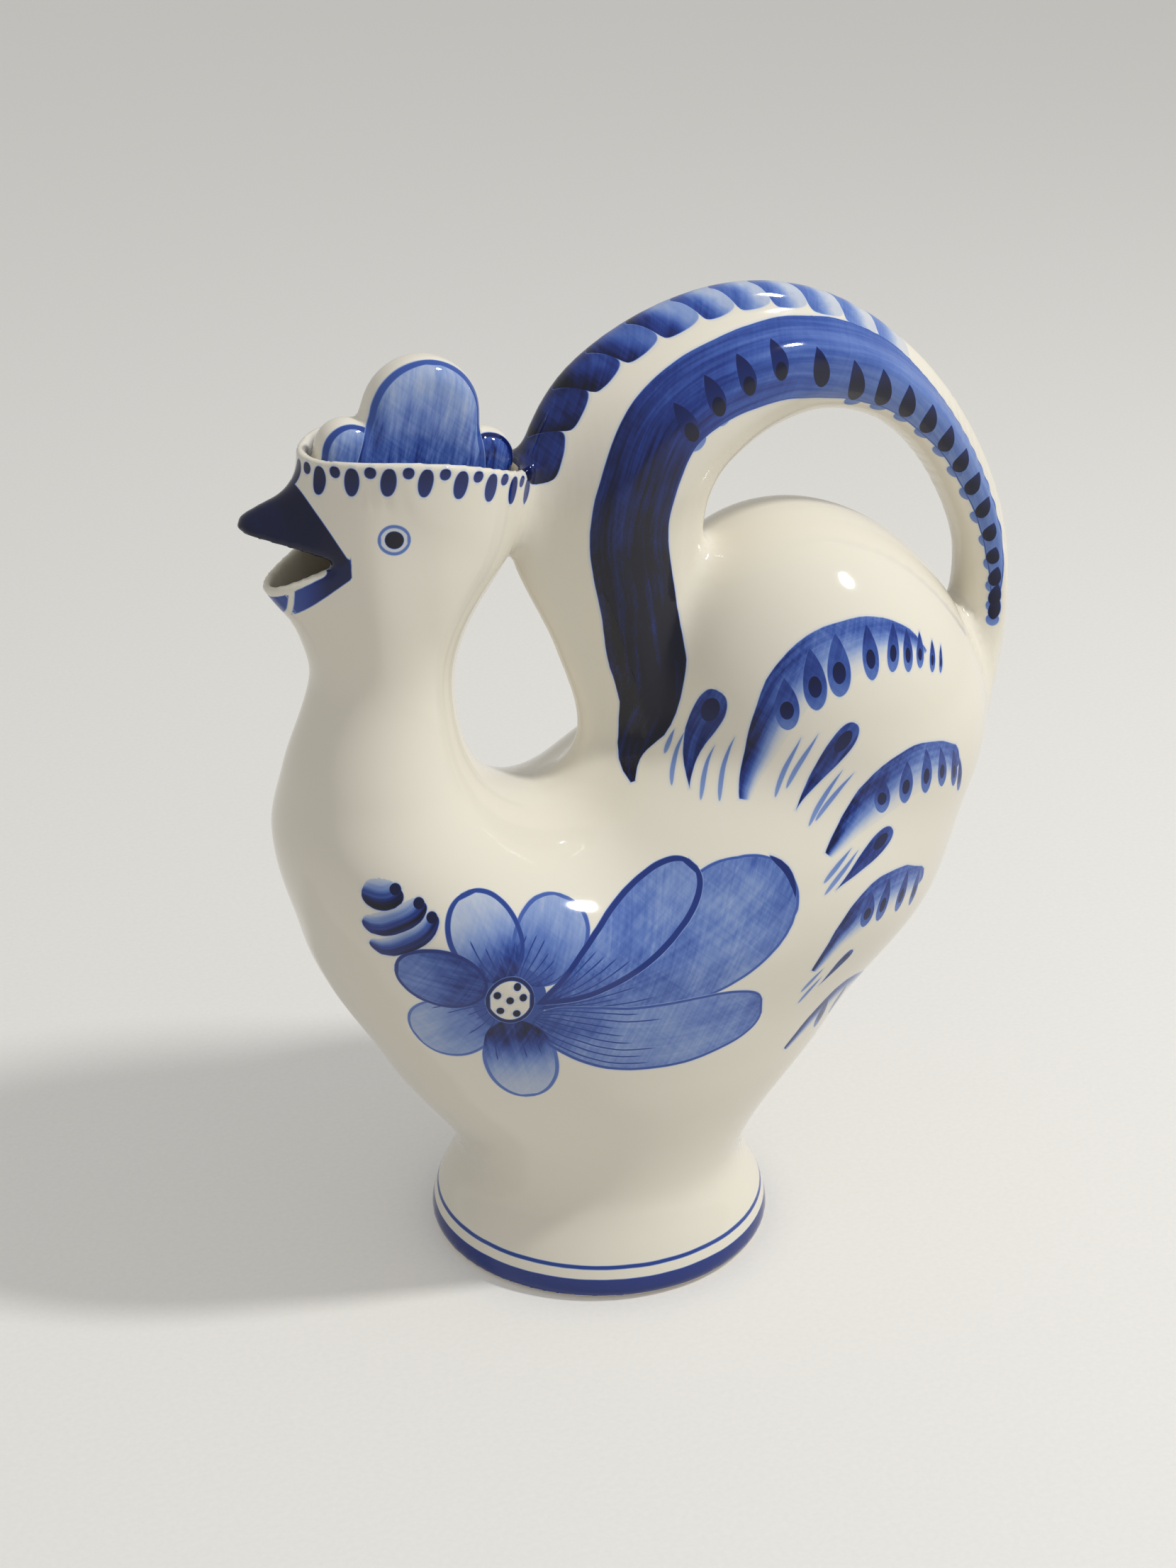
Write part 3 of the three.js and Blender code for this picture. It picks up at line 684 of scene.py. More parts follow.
# %% [markdown]
# ## Flower and wing
# The flower on the breast has a dotted white eye and five petals. Its three long petals to the
# right make the wing. Each petal is a wash with a drawn outline, and thin lines run out of the eye
# over all of them. The long petals come first and the short ones lie over them.

# %% Flower and wing strokes
WING_PETALS = [
    # spine, half width, shape of the ends, tones along it, outline, lines, cover
    ([(-38, 96), (-20, 98), (-5, 101.5), (6.5, 106.5), (15.6, 112), (23, 118), (28.6, 124)], 15.2,
     (1.2, 0.5), [0.74, 0.64, 0.56, 0.5, 0.46, 0.46, 0.54], (0.64, 0.9), 9, 0),
    ([(-38, 93), (-24, 86.5), (-14, 83), (0, 82), (12, 83), (24, 84.5)], 10.3, (0.42, 0.3),
     [0.66, 0.54, 0.44, 0.4, 0.44, 0.52], (0.68, 0.9), 9, 1),
    ([(-38, 97.5), (-28, 101.5), (-20.5, 105.5), (-10.4, 111.3), (-3.2, 116), (2.5, 120.3),
      (8, 124.6)], 9.2,
     (0.85, 0.42), [0.72, 0.6, 0.5, 0.47, 0.44, 0.42], (0.8, 1.7), 6, 1),
]
PETALS = [
    # base, tip, half width, tones, outline, lines
    ((-49.5, 102.5), (-69.5, 107.5), 9.4, [0.74, 0.7, 0.58, 0.5], (0.8, 1.2), 5),
    ((-48.5, 97), (-62.5, 83.5), 10.2, [0.68, 0.46, 0.34, 0.28], (0.58, 0.9), 7),
    ((-45.5, 105), (-52.5, 127.5), 9.4, [0.9, 0.66, 0.38, 0.22, 0.16], (0.74, 1.4), 7),
    ((-41.5, 104.5), (-26, 121), 9.8, [0.72, 0.54, 0.38, 0.3], (0.62, 1.2), 8),
    # The lowest petal's dark base is partly deep cobalt and partly painted shade
    ((-44, 93), (-36.5, 66.5), 9.4, [0.92, 0.86, 0.6, 0.34, 0.22, 0.2], (0.56, 1.1), 5),
]
WING_ACCENT = [(26.6, 125.4), (29.8, 122.4), (31.5, 118.2), (31.8, 114.5)]
EYE_OF_FLOWER, EYE_WIDE, EYE_HIGH, EYE_WASH = (-44, 99), 5.8, 7.4, 3
DOT_WIDE, DOT_HIGH = 0.9, 1.15
EYE_DOTS = [(-42.5, 103.3), (-47.2, 101), (-41, 100), (-44.1, 99.2), (-46.1, 96), (-42.2, 95)]
BUD = [
    # from the curl to the tip, half width
    ([(-68.2, 130), (-70.3, 128.2), (-72.6, 127.7), (-75.6, 128.6)], 4.1),
    ([(-63.4, 126.8), (-65.7, 124), (-70.2, 121.2), (-73.8, 119.6), (-76, 120.4)], 3.5),
    ([(-60.9, 123.4), (-63.6, 119.4), (-68, 115.9), (-71.9, 113.4), (-74.6, 114.2)], 3.0),
]

for spine, half, ends, tone, line, veins, cover in WING_PETALS:
    stroke(on_side(spine), half, tone, ends=ends, streak=0.1, hatch=0.2, line=line, veins=veins,
           cover=cover)
stroke(on_side(WING_ACCENT), 1.0, 0.84, ends=(0.6, 0.8))
disc(EYE_OF_FLOWER, EYE_WIDE + EYE_WASH, EYE_HIGH + EYE_WASH, 0.68)
for base, tip, half, tone, line, veins in PETALS:
    stroke(on_side([base, tip]), half, tone, ends=(0.5, 0.45), streak=0.1, hatch=0.14, line=line,
           veins=veins)
disc(EYE_OF_FLOWER, EYE_WIDE, EYE_HIGH, 0, cover=1, line=(0.88, 1.2))
for dot in EYE_DOTS:
    disc(dot, DOT_WIDE, DOT_HIGH, 1)
for sweep, half in BUD:
    stroke(on_side(sweep), half, [0.9, 0.94, 0.9], ends=(0.3, 0.35), fade=0.8, streak=0.2)
    disc((sweep[0][0] - 0.6, sweep[0][1] - 0.8), 1.3, 1.6, 0.95)
print("flower and wing:", len(strokes), "strokes")

# %% [markdown]
# ## Tail feathers on the flank
# Four arched feathers lie on the flank. Each is one sweep of a flat brush, full at its outer edge
# and empty at the inner one, with dabs hung under the arch. A dab is a pointed touch of thin blue
# with a dark spot pressed into it. Drops and thin grass-like lines fill the space between the
# feathers.

# %% Places on the flank
FEATHERS = [
    # outer edge, half widths along it, dabs as top, end and half width
    ([(22, 138), (25, 148), (27.4, 158.5), (31.8, 169.5), (41, 178.5), (53, 182.2), (61.4, 182),
      (71, 177.5), (76.5, 170)],
     [1.8, 3.4, 4.8, 6.2, 7.2, 7.8, 7.4, 5.4, 2.0],
     [((35, 168), (35, 155), 3.2), ((42, 175), (42, 160), 3.1), ((49, 178), (48, 163), 3.1),
      ((58, 179), (57, 166), 2.3), ((66, 178), (63, 167), 1.9), ((70, 176), (68, 166), 1.6),
      ((74, 174), (72, 166), 1.3), ((78, 171), (76, 164), 1.1), ((81, 169), (79, 163), 0.7)]),
    ([(41, 124.5), (48, 132.4), (56.5, 141.3), (66, 147.4), (76, 148), (84, 145), (88, 138)],
     [1.6, 3.2, 5.4, 7.0, 7.4, 6.8, 4.8],
     [((58.5, 141), (59, 131), 2.4), ((66, 144), (66, 132), 2.2), ((72, 146), (73, 133), 1.9),
      ((77, 145), (79, 133), 1.7), ((82, 143), (84, 131), 1.4), ((85, 139), (87, 128), 1.1)]),
    ([(37.5, 92), (45, 104), (54, 112.6), (64, 115.4), (75.5, 113), (78, 107)],
     [1.5, 2.7, 5.0, 6.4, 6.6, 4.6],
     [((55, 111), (53, 101), 2.3), ((61, 113), (58, 101), 2.0), ((68, 113), (65, 101), 1.8),
      ((73, 111), (71, 100), 1.5)]),
    ([(34.5, 65.5), (44, 75.5), (52.5, 82), (64, 79.5)],
     [1.3, 2.9, 4.2, 3.4],
     [((48, 77), (47, 66), 1.8), ((55, 78), (53, 67), 1.6)]),
]
DROPS = [
    # tail, head, half width
    ((12.5, 139), (21.5, 163), 4.3), ((35.5, 135), (51.5, 156), 2.9), ((43.5, 114.5), (62, 126), 2.5),
    ((42, 85), (51, 94), 1.4),
]
GRASS = [
    ((9, 139), (15, 151)), ((14, 137), (20, 149)), ((18, 137), (24, 152)), ((10, 145), (13, 151)),
    ((31, 138), (38, 153)), ((34, 140), (42, 154)), ((38, 131), (48, 144)), ((40, 132), (51, 143)),
    ((40, 117), (49, 124)), ((40, 114), (51, 123)), ((36, 85), (42, 91)), ((36, 81), (42, 88)),
]
print(len(FEATHERS), "feathers with", sum(len(row[2]) for row in FEATHERS), "dabs")


# %% Flank strokes
FEATHER_WASH = [0.84, 0.86, 0.8, 0.66, 0.62, 0.66]
SPOT_SIZE, DAB_SPOT, DROP_SPOT = 0.6, (0.44, 0.8), (0.66, 0.92)


def feather(edge, half):
    """A sweep whose left side follows an edge."""
    flat = trail(edge)
    run = np.gradient(flat, axis=0)
    inward = np.stack([run[:, 1], -run[:, 0]], 1) / np.linalg.norm(run, axis=1)[:, None]
    wide = np.interp(np.linspace(0, 1, len(flat)), np.linspace(0, 1, len(half)), half)
    stroke(on_side(flat + inward * wide[:, None]), half, FEATHER_WASH, ends=(0.08, 0.2), fade=0.95,
           streak=0.14, hatch=0.16)


def spot(start, end, stretch, half, tone):
    """A dark spot over a stretch of a dab or drop."""
    start, end = np.array(start, float), np.array(end, float)
    stroke(on_side([start + share * (end - start) for share in stretch]), SPOT_SIZE * half, tone)


for edge, half, dabs in FEATHERS:
    feather(edge, half)
    for top, end, wide in dabs:
        stroke(on_side([top, end]), wide, [0.8, 0.72, 0.52], ends=ALMOND, hatch=0.1, line=(0.6, 0.4))
        spot(top, end, DAB_SPOT, wide, [0.97, 0.88])
for tail, head, half in DROPS:
    stroke(on_side([tail, head]), half, [0.86, 0.82, 0.72], ends=DROP, streak=0.12, hatch=0.1)
    spot(tail, head, DROP_SPOT, half, [0.9, 0.95])
for low, high in GRASS:
    stroke(on_side([low, high]), 0.65, [0.38, 0.5], ends=(0.5, 0.9))
print("with the flank:", len(strokes), "strokes")

# %% [markdown]
# ## Great feather on the handle
# One long feather runs from the saddle over the arch to the rump, streaked along its length by the
# bristles. Its front strand is near black, partly thick cobalt and partly painted shade. Its dabs get
# closer towards the rump, so their places follow a rule, and each ends in a pale lobe that breaks the
# inner edge. Slanting scales lie over the ridge, each dark at its leading edge, and those nearer the
# head darker still, partly with painted shade.

# %% Handle strokes
FEATHER_LINE = [
    # along the plume, across it
    (0.05, 0.56), (0.1, 0.23), (0.165, 0.0), (0.23, 0.0), (0.3, 0.07), (0.36, 0.17), (0.414, 0.17),
    (0.48, 0.1), (0.52, 0.04), (0.57, 0.05), (0.61, 0.07), (0.67, -0.1), (0.73, -0.22), (0.77, -0.25),
    (0.805, -0.28), (0.846, -0.3),
]
FEATHER_HALF = [0.6, 6.5, 10, 10.2, 10.4, 10.2, 10.2, 10.4, 11, 11.6, 10.4, 7.4, 4.8, 3.4, 2.6, 0.6]
# The front strand's near-black tones are partly thick cobalt and partly painted shade
FEATHER_TONE = [1.0, 1.0, 0.99, 0.97, 0.9, 0.78, 0.68, 0.6, 0.54, 0.48, 0.45, 0.45, 0.5]
HANDLE_DABS, SPOTTED_DABS = 18, 4
SCALE_STARTS = [0.262, 0.308, 0.346, 0.38, 0.412, 0.446, 0.474, 0.503, 0.533, 0.563, 0.593, 0.623]
SCALE_SLANT = 0.7

stroke(on_plume(FEATHER_LINE), FEATHER_HALF, FEATHER_TONE, ends=BAND, streak=0.13, hatch=0.05,
       line=(0.7, 0.5))
for k in range(HANDLE_DABS):
    share = k / (HANDLE_DABS - 1)
    top = 0.38 + 0.445 * (1 - (1 - share) ** 1.35)
    end = top - 0.028 + 0.05 * share
    top_across = np.interp(k, [0, 3, 5, 12, 14, 17], [0.27, 0.35, 0.05, 0.08, -0.2, -0.22])
    end_across = np.interp(k, [0, 3, 5, 12, 17], [-0.2, -0.2, -0.72, -0.58, -0.32])
    half = 2.6 - 0.9 * share
    path = on_plume([(top, top_across), (end, end_across)])
    drop = (path[-1] - path[-2]) / np.linalg.norm(path[-1] - path[-2])
    stroke(np.linspace(path[-1] - half * drop, path[-1] + half * drop, 9), 1.1 * half, [0.6, 0.42])
    if k < SPOTTED_DABS:
        stroke(path, half, [0.92, 0.82], ends=ALMOND)
        stroke(path[4:9], 0.75 * half, [0.97, 1.0])
    else:
        stroke(path, half, [0.86, 0.98, 0.98], ends=ALMOND)
for start, after in zip(SCALE_STARTS[:-1], SCALE_STARTS[1:]):
    ridge = np.linspace(start, after, 9)
    ridge_x, ridge_z = (np.interp(ridge, plume_at, plume_edge[:, k]) for k in (0, 1))
    # Scales nearer the head get darker tones: partly deeper cobalt, partly painted shade
    dark = np.interp(start, [0.3, 0.4, 0.46, 0.6], [1.0, 0.95, 0.64, 0.5])
    pale = np.interp(start, [0.3, 0.36, 0.42, 0.5, 0.6], [0.86, 0.74, 0.3, 0.16, 0.1])
    half = np.interp(start, [0.26, 0.4, 0.5], [10.5, 9.4, 8.4])
    stroke(np.stack([ridge_x, 0 * ridge, ridge_z], 1), half, [dark, 0.88 * dark, pale, pale],
           ends=(0.04, 0.12), hatch=0.12, slant=SCALE_SLANT)
print("with the handle:", len(strokes), "strokes")

# %% [markdown]
# ## Head
# Long dabs and dots go round the outside of the rim at even steps, and a ring with a black pupil is
# the eye. The beak is a plain dark field with straight edges, so it is no stroke: each point of the
# skin is given its distance to the field's edge.

# %% Rim and eye strokes
RIM_DABS = 18
RIM_DAB, RIM_DOT = (1.7, 8.6, 1.85), (1.4, 4.2, 1.4)
EYE, EYE_RING, PUPIL = (-60.8, 212.3), 3.8, 2.2

turns = np.linspace(0, math.pi, 181)
pace = np.hypot(MOUTH_LENGTH * np.sin(turns), MOUTH_WIDTH * np.cos(turns))
round_rim = np.concatenate([[0], np.cumsum((pace[1:] + pace[:-1]) / 2)])
round_rim = round_rim / round_rim[-1] * RIM_DABS / 2
for k in range(RIM_DABS // 2 + 1):
    for at, (low, high, half) in ((k, RIM_DAB), (k + 0.5, RIM_DOT)):
        path = round_head(float(np.interp(at, round_rim, turns)), low, high)
        beside_plume = plume(plume_place(path[:, 0], path[:, 2]), path[:, 1]).min() > 3
        if beside_plume and at <= RIM_DABS / 2:
            dark = 0.84 + 0.14 * at / (RIM_DABS / 2)
            stroke(path, half, [dark, dark - 0.08], ends=(0.4, 0.45))
disc(EYE, EYE_RING, EYE_RING, 0.1, line=(0.52, 0.85))
disc(EYE, PUPIL, PUPIL, 1)
print("all strokes on the body:", len(strokes))


# %% Beak field
CHEEK_LINE = ((-79.2, 223), (-70.1, 205.7))
JAW_LINE = ((-81.6, 192.5), (-70.2, 202.9))
LIP_LINE = ((-84.0, 198.0), (-74.5, 203.8))
JAW_GAP, JAW_GAP_HALF = -83.1, 0.6
LIP_WIDTH, LIP_OVERLAP, BEAK_WRAP, BEAK_BACK = 2.4, 1.5, 1.8, -60
UPPER_TONE, JAW_TONE, CORNER_DARKER = 0.97, 0.72, 0.2


def left_of(line, x, z):
    """Distance to the left of a line, seen along it with x to the right and z up."""
    (ax, az), (bx, bz) = line
    return ((bx - ax) * (z - az) - (bz - az) * (x - ax)) / math.hypot(bx - ax, bz - az)


def beak_field(x, z):
    """Distance inside the painted beak, and its tone: upper beak and corner, then a thinner band along
    the jaw."""
    behind = smoothstep(x, LIP_LINE[1][0] - 1.5, LIP_LINE[1][0] + 0.5)
    above_lip = left_of(LIP_LINE, x, z)
    upper = np.minimum(-left_of(CHEEK_LINE, x, z), above_lip - LIP_WIDTH + LIP_WIDTH * behind)
    jaw = np.minimum(LIP_OVERLAP * behind - above_lip, left_of(JAW_LINE, x, z))
    jaw = np.minimum(jaw, np.abs(x - JAW_GAP) - JAW_GAP_HALF)
    jaw = np.minimum(jaw, JAW_LINE[1][0] - 0.2 - x)
    jaw_tone = JAW_TONE + CORNER_DARKER * smoothstep(x, -82, -74)
    return np.maximum(upper, jaw), np.where(upper > jaw, UPPER_TONE, jaw_tone)


print("the eye lies", -beak_field(*EYE)[0].round(1), "mm behind the beak's field")

# %% [markdown]
# ## Strokes onto faces
# Every face that a stroke reaches stores, at its corners, how far along the stroke they lie, how
# far to its side, and its half width there. Strokes that overlap go to different layers. The
# material works out the edge from these readings at each pixel, so a stroke is crisp even where a
# face is wider than its tip.

# %% Places along a stroke
def along_stroke(path, points, normals, past_end):
    """How far along a path points lie (0 to 1, or past its ends), how far to its right in mm, and its
    length."""
    legs = np.diff(path, axis=0)
    size = np.linalg.norm(legs, axis=1)
    before = np.concatenate([[0], np.cumsum(size)])
    low, high = np.zeros(len(legs)), np.ones(len(legs))
    low[0] = -past_end / size[0]
    high[-1] = 1 + past_end / size[-1]
    along, right = np.zeros(len(points)), np.zeros(len(points))
    for part in np.array_split(np.arange(len(points)), len(points) // 4000 + 1):
        rel = points[part, None] - path[None, :-1]
        share = np.clip((rel * legs).sum(2) / size ** 2, low, high)
        gap = rel - share[..., None] * legs
        far = np.linalg.norm(gap, axis=2)
        row, i = np.arange(len(part)), far.argmin(1)
        side = (np.cross(normals[part], legs[i]) * gap[row, i]).sum(1)
        along[part] = (before[i] + share[row, i] * size[i]) / before[-1]
        right[part] = np.where(side < 0, -1, 1) * far[row, i]
    return along, right, before[-1]


# %% Strokes to layers
REACH_MARGIN, TRAIL_END, ASIDE = 1.2, 8.0, 2.0
NO_STROKE = [0.0, 99, 0, 0]


def paint(mesh, corners, normals, paintable, strokes):
    """Writes strokes to the layers of a mesh, and returns how many layers there are."""
    corners = corners * np.where(corners[..., 1:2].mean(1, keepdims=True) < 0, [1, -1, 1], 1)
    centre = corners.mean(1)
    count = len(corners)
    layers, lowest, used = [], np.zeros(count, int), np.zeros(count, int)
    for one in strokes:
        path = one["path"]
        room = one["reach"] + REACH_MARGIN + 2
        near = ((centre > path.min(0) - room) & (centre < path.max(0) + room)).all(1)
        near = np.flatnonzero(near & paintable)
        points = corners[near].reshape(-1, 3)
        past_end = TRAIL_END + one["slant"] * one["reach"]
        along, right, length = along_stroke(path, points, np.repeat(normals[near], 4, axis=0), past_end)
        right = right.reshape(-1, 4)
        aside = np.abs(right).min(1) > ASIDE
        right[aside] = np.abs(right[aside]) * np.sign(right[aside, :1])
        right = right.ravel()
        along = along - one["slant"] * np.abs(right) / length
        half = np.interp(along, np.linspace(0, 1, len(one["half"])), one["half"])
        tone = np.interp(along, np.linspace(0, 1, len(one["tone"])), one["tone"])
        inside = np.clip(along, 0, 1)
        edge = half * inside ** one["ends"][0] * (1 - inside) ** one["ends"][1]
        past = np.maximum(np.abs(right) - edge, np.maximum(-along, along - 1) * length)
        touched = past.reshape(-1, 4).min(1) < REACH_MARGIN
        faces = near[touched]
        if not len(faces):
            continue
        level = used[faces].max() if one["cover"] else lowest[faces].max()
        while level < len(layers) and layers[level]["taken"][faces].any():
            level += 1
        if level == len(layers):
            layers.append({"taken": np.zeros(count, bool), "brush": np.tile(NO_STROKE, (count, 4, 1)),
                           "ends": np.ones((count, 4)), "load": np.zeros((count, 4)),
                           "line": np.zeros((count, 3))})
        layer = layers[level]
        layer["taken"][faces] = True
        layer["brush"][faces] = np.stack([along, right, half, tone], 1).reshape(-1, 4, 4)[touched]
        layer["ends"][faces] = (*one["ends"], length, one["cover"])
        layer["load"][faces] = one["load"]
        layer["line"][faces] = one["line"]
        used[faces] = np.maximum(used[faces], level + 1)
        if one["cover"]:
            lowest[faces] = level + 1
    for k, layer in enumerate(layers):
        for part, domain in (("brush", "CORNER"), ("ends", "FACE"), ("load", "FACE")):
            held = mesh.attributes.new(f"{part}_{k}", "FLOAT_COLOR", domain)
            held.data.foreach_set("color", layer[part].ravel())
        held = mesh.attributes.new(f"line_{k}", "FLOAT_VECTOR", "FACE")
        held.data.foreach_set("vector", layer["line"].ravel())
    return len(layers)


# %% Painting the body
PAINT_DEPTH, FAR_OFF = 1.2, -9
body_corners = body_points[body_quads]
body_faces = body_corners.mean(1)
body_facing = body_normals[body_quads].mean(1)
body_facing = body_facing * np.where(body_faces[:, 1:2] < 0, [1, -1, 1], 1)
on_outside = outer_form(*body_faces.T, plume_place(body_faces[:, 0], body_faces[:, 2])) > -PAINT_DEPTH
body_layers = paint(body.data, body_corners, body_facing, on_outside, strokes)
beak_depth, beak_tone = beak_field(body_points[:, 0], body_points[:, 2])
skin_depth = outer_form(*body_points.T, plume_place(body_points[:, 0], body_points[:, 2]))
beak_depth = np.minimum(beak_depth, skin_depth + BEAK_WRAP)
beak_depth = np.where(body_points[:, 0] < BEAK_BACK, beak_depth, FAR_OFF)
beak = body.data.attributes.new("beak", "FLOAT_VECTOR", "POINT")
beak.data.foreach_set("vector", np.stack([beak_depth, beak_tone, 0 * beak_tone], 1).ravel())
print("body paint in", body_layers, "layers")

# %% [markdown]
# The comb is painted in the same way, in the frame of the mouth: an upright wash on each lobe with
# a darker outline. The rear lobe's wash and outline are dark navy, which is painted shade for the
# plume's shadow on it. The washes end on the rounded edge, so a strip along its middle stays white.
# The crest's wash lies over the others.

# %% Comb strokes
WASH_FOOT, WASH_SAMPLES = 0.7, 25
LOBE_INSET, CREST_INSET = 0.2, 0.1
strokes.clear()


def on_comb(points, thick):
    flat = trail(points)
    return np.stack([flat[:, 0], np.full(len(flat), thick / 2), flat[:, 1]], 1)


def comb_wash(middle, height, radius, thick, flare, tone, line, cover=0.0):
    """Upright wash on a lobe, from just above the plate to its round top, inside the lobe's outline."""
    low, high = SEATED + PLATE_THICK + WASH_FOOT, height + radius
    share = np.linspace(0, 1, WASH_SAMPLES)
    level = low + share * (high - low)
    wide = np.sqrt(np.maximum(radius ** 2 - np.maximum(level - height, 0) ** 2, 0))
    wide = wide + np.maximum(height - level, 0) * math.tan(flare)
    wide[:-1] = wide[:-1] / np.sqrt(1 - share[:-1])
    wide[-1] = math.sqrt(2 * radius * (high - low))
    stroke(on_comb([(middle, low), (middle, high)], thick), wide, tone, ends=(0, 0.5), streak=0.24,
           hatch=0.22, line=line, cover=cover)


# The rear lobe (side 1) is painted darker than the front one: painted shade, the plume's shadow on it
for side, tone, line in ((-1, [0.6, 0.5, 0.3], (0.72, 1.5)), (1, [0.86, 0.82, 0.74], (0.9, 1.5))):
    comb_wash(side * LOBE_REACH, LOBE_HEIGHT, LOBE_RADIUS - LOBE_INSET, LOBE_THICK, 0, tone, line)
comb_wash(0, CREST_HEIGHT, CREST_RADIUS - CREST_INSET, CREST_THICK, CREST_FLARE,
          [0.7, 0.64, 0.54, 0.42, 0.32, 0.3], (0.66, 1.4), 1)
lid_corners = lid_points[lid_quads]
lid_facing = lid_normals[lid_quads].mean(1)
lid_facing = lid_facing * np.where(lid_corners.mean(1)[:, 1:2] < 0, [1, -1, 1], 1)
above_plate = lid_corners.mean(1)[:, 2] > SEATED + PLATE_THICK - 1
lid_layers = paint(lid.data, lid_corners, lid_facing, above_plate, strokes)
print("comb paint in", lid_layers, "layers")

# %% [markdown]
# ## Glaze and cobalt
# The ware is white earthenware, brushed with cobalt oxide and dipped in a clear lead-free gloss
# glaze. Fired, the glaze is a thin sheet of glass: sharp reflections over a warm white, with faint
# waves left by dipping. The cobalt sinks into it and bleeds a little at its edges. Thin pigment
# fires a soft blue, thick pigment almost black.

# %% Colours and nodes
def linear(hex_colour):
    """sRGB hex to linear colour with alpha."""
    out = []
    for k in (1, 3, 5):
        c = int(hex_colour[k:k + 2], 16) / 255
        out.append(c / 12.92 if c <= 0.04045 else ((c + 0.055) / 1.055) ** 2.4)
    return (*out, 1.0)


def add(tree, kind, *inputs, links=None, **settings):
    """Adds a node with its settings. Its inputs are given in order, or in links by name or number,
    as values, sockets or nodes. A node stands for its first output."""
    node = tree.nodes.new(kind)
    for name, value in settings.items():
        setattr(node, name, value)
    for key, value in [*enumerate(inputs), *(links or {}).items()]:
        if isinstance(value, bpy.types.Node):
            value = value.outputs[0]
        if isinstance(value, bpy.types.NodeSocket):
            tree.links.new(value, node.inputs[key])
        else:
            node.inputs[key].default_value = value
    return node


PIGMENT = [
    # tone and fired colour, from bare glaze to the thickest cobalt
    (0.0, "#e9e3d3"), (0.16, "#c0c8d6"), (0.34, "#8aa0ce"), (0.5, "#617dbe"),
    (0.65, "#3a58a5"), (0.78, "#1f3682"), (0.9, "#0e1a50"), (1.0, "#060920"),
]
print("cobalt in", len(PIGMENT), "steps, the thickest", [round(c, 4) for c in linear(PIGMENT[-1][1])])

# %% Brush layer: what it is given
MATH, RANGE, NOISE = "ShaderNodeMath", "ShaderNodeMapRange", "ShaderNodeTexNoise"
NOISE_SPAN = (0.28, 0.72)
SOFT_EDGE, BLEED, BLEED_TONE = 0.22, 1.0, 0.1
TIP, STEEPEST = 0.002, 2.5
BRISTLE_RUN, BRISTLE_STEP = 30, 1.4
FADE_SPAN, LEAST_HALF = (-0.75, 1.0), 0.05
LINE_SOFT, LEAST_LINE = 0.25, 0.01
VEIN_WIDTH, VEIN_TONE, VEIN_ENDS, VEIN_FADE, VEIN_SEED = (0.1, 0.4), 0.76, (0.3, 0.62), 0.12, 3.7

layer_group = bpy.data.node_groups.new("brush layer", "ShaderNodeTree")
face = layer_group.interface
for name, kind in (("Below", "Float"), ("Brush", "Color"), ("Tone", "Float"), ("Ends", "Color"),
                   ("Cover", "Float"), ("Load", "Color"), ("Veins", "Float"), ("Line", "Vector"),
                   ("Waver", "Float"), ("Hatch", "Float")):
    face.new_socket(name, in_out="INPUT", socket_type="NodeSocket" + kind)
face.new_socket("Paint", in_out="OUTPUT", socket_type="NodeSocketFloat")
g = layer_group
given = add(g, "NodeGroupInput").outputs
brush = add(g, "ShaderNodeSeparateColor", given["Brush"]).outputs
ends = add(g, "ShaderNodeSeparateColor", given["Ends"]).outputs
load = add(g, "ShaderNodeSeparateColor", given["Load"]).outputs
line = add(g, "ShaderNodeSeparateXYZ", given["Line"]).outputs
veins = given["Veins"]
along, length = brush[0], ends[2]
print("a brush layer is given", len(given) - 1, "readings")

# %% Brush layer: edge
# Half width at this place, its slope, and from them the distance inside the stroke's edge
inside = add(g, "ShaderNodeClamp", along, TIP, 1 - TIP)
rest = add(g, MATH, 1.0, inside, operation="SUBTRACT")
rise = add(g, MATH, inside, ends[0], operation="POWER")
fall = add(g, MATH, rest, ends[1], operation="POWER")
taper = add(g, MATH, rise, fall, operation="MULTIPLY")
half = add(g, MATH, brush[2], taper, operation="MULTIPLY")
rising = add(g, MATH, ends[0], inside, operation="DIVIDE")
falling = add(g, MATH, ends[1], rest, operation="DIVIDE")
change = add(g, MATH, rising, falling, operation="SUBTRACT")
per_mm = add(g, MATH, half, length, operation="DIVIDE")
slope = add(g, MATH, change, per_mm, operation="MULTIPLY")
square = add(g, MATH, slope, slope, 1.0, operation="MULTIPLY_ADD")
steep = add(g, MATH, square, operation="SQRT")
steep = add(g, MATH, steep, STEEPEST, operation="MINIMUM")
right = add(g, MATH, brush[1], given["Waver"], operation="ADD")
aside = add(g, MATH, right, operation="ABSOLUTE")
room = add(g, MATH, half, aside, operation="SUBTRACT")
to_side = add(g, MATH, room, steep, operation="DIVIDE")
left_over = add(g, MATH, 1.0, along, operation="SUBTRACT")
nearer = add(g, MATH, along, left_over, operation="MINIMUM")
to_end = add(g, MATH, nearer, length, operation="MULTIPLY")
depth = add(g, MATH, to_side, to_end, operation="MINIMUM")
mask = add(g, RANGE, depth, -SOFT_EDGE, SOFT_EDGE, interpolation_type="SMOOTHSTEP")

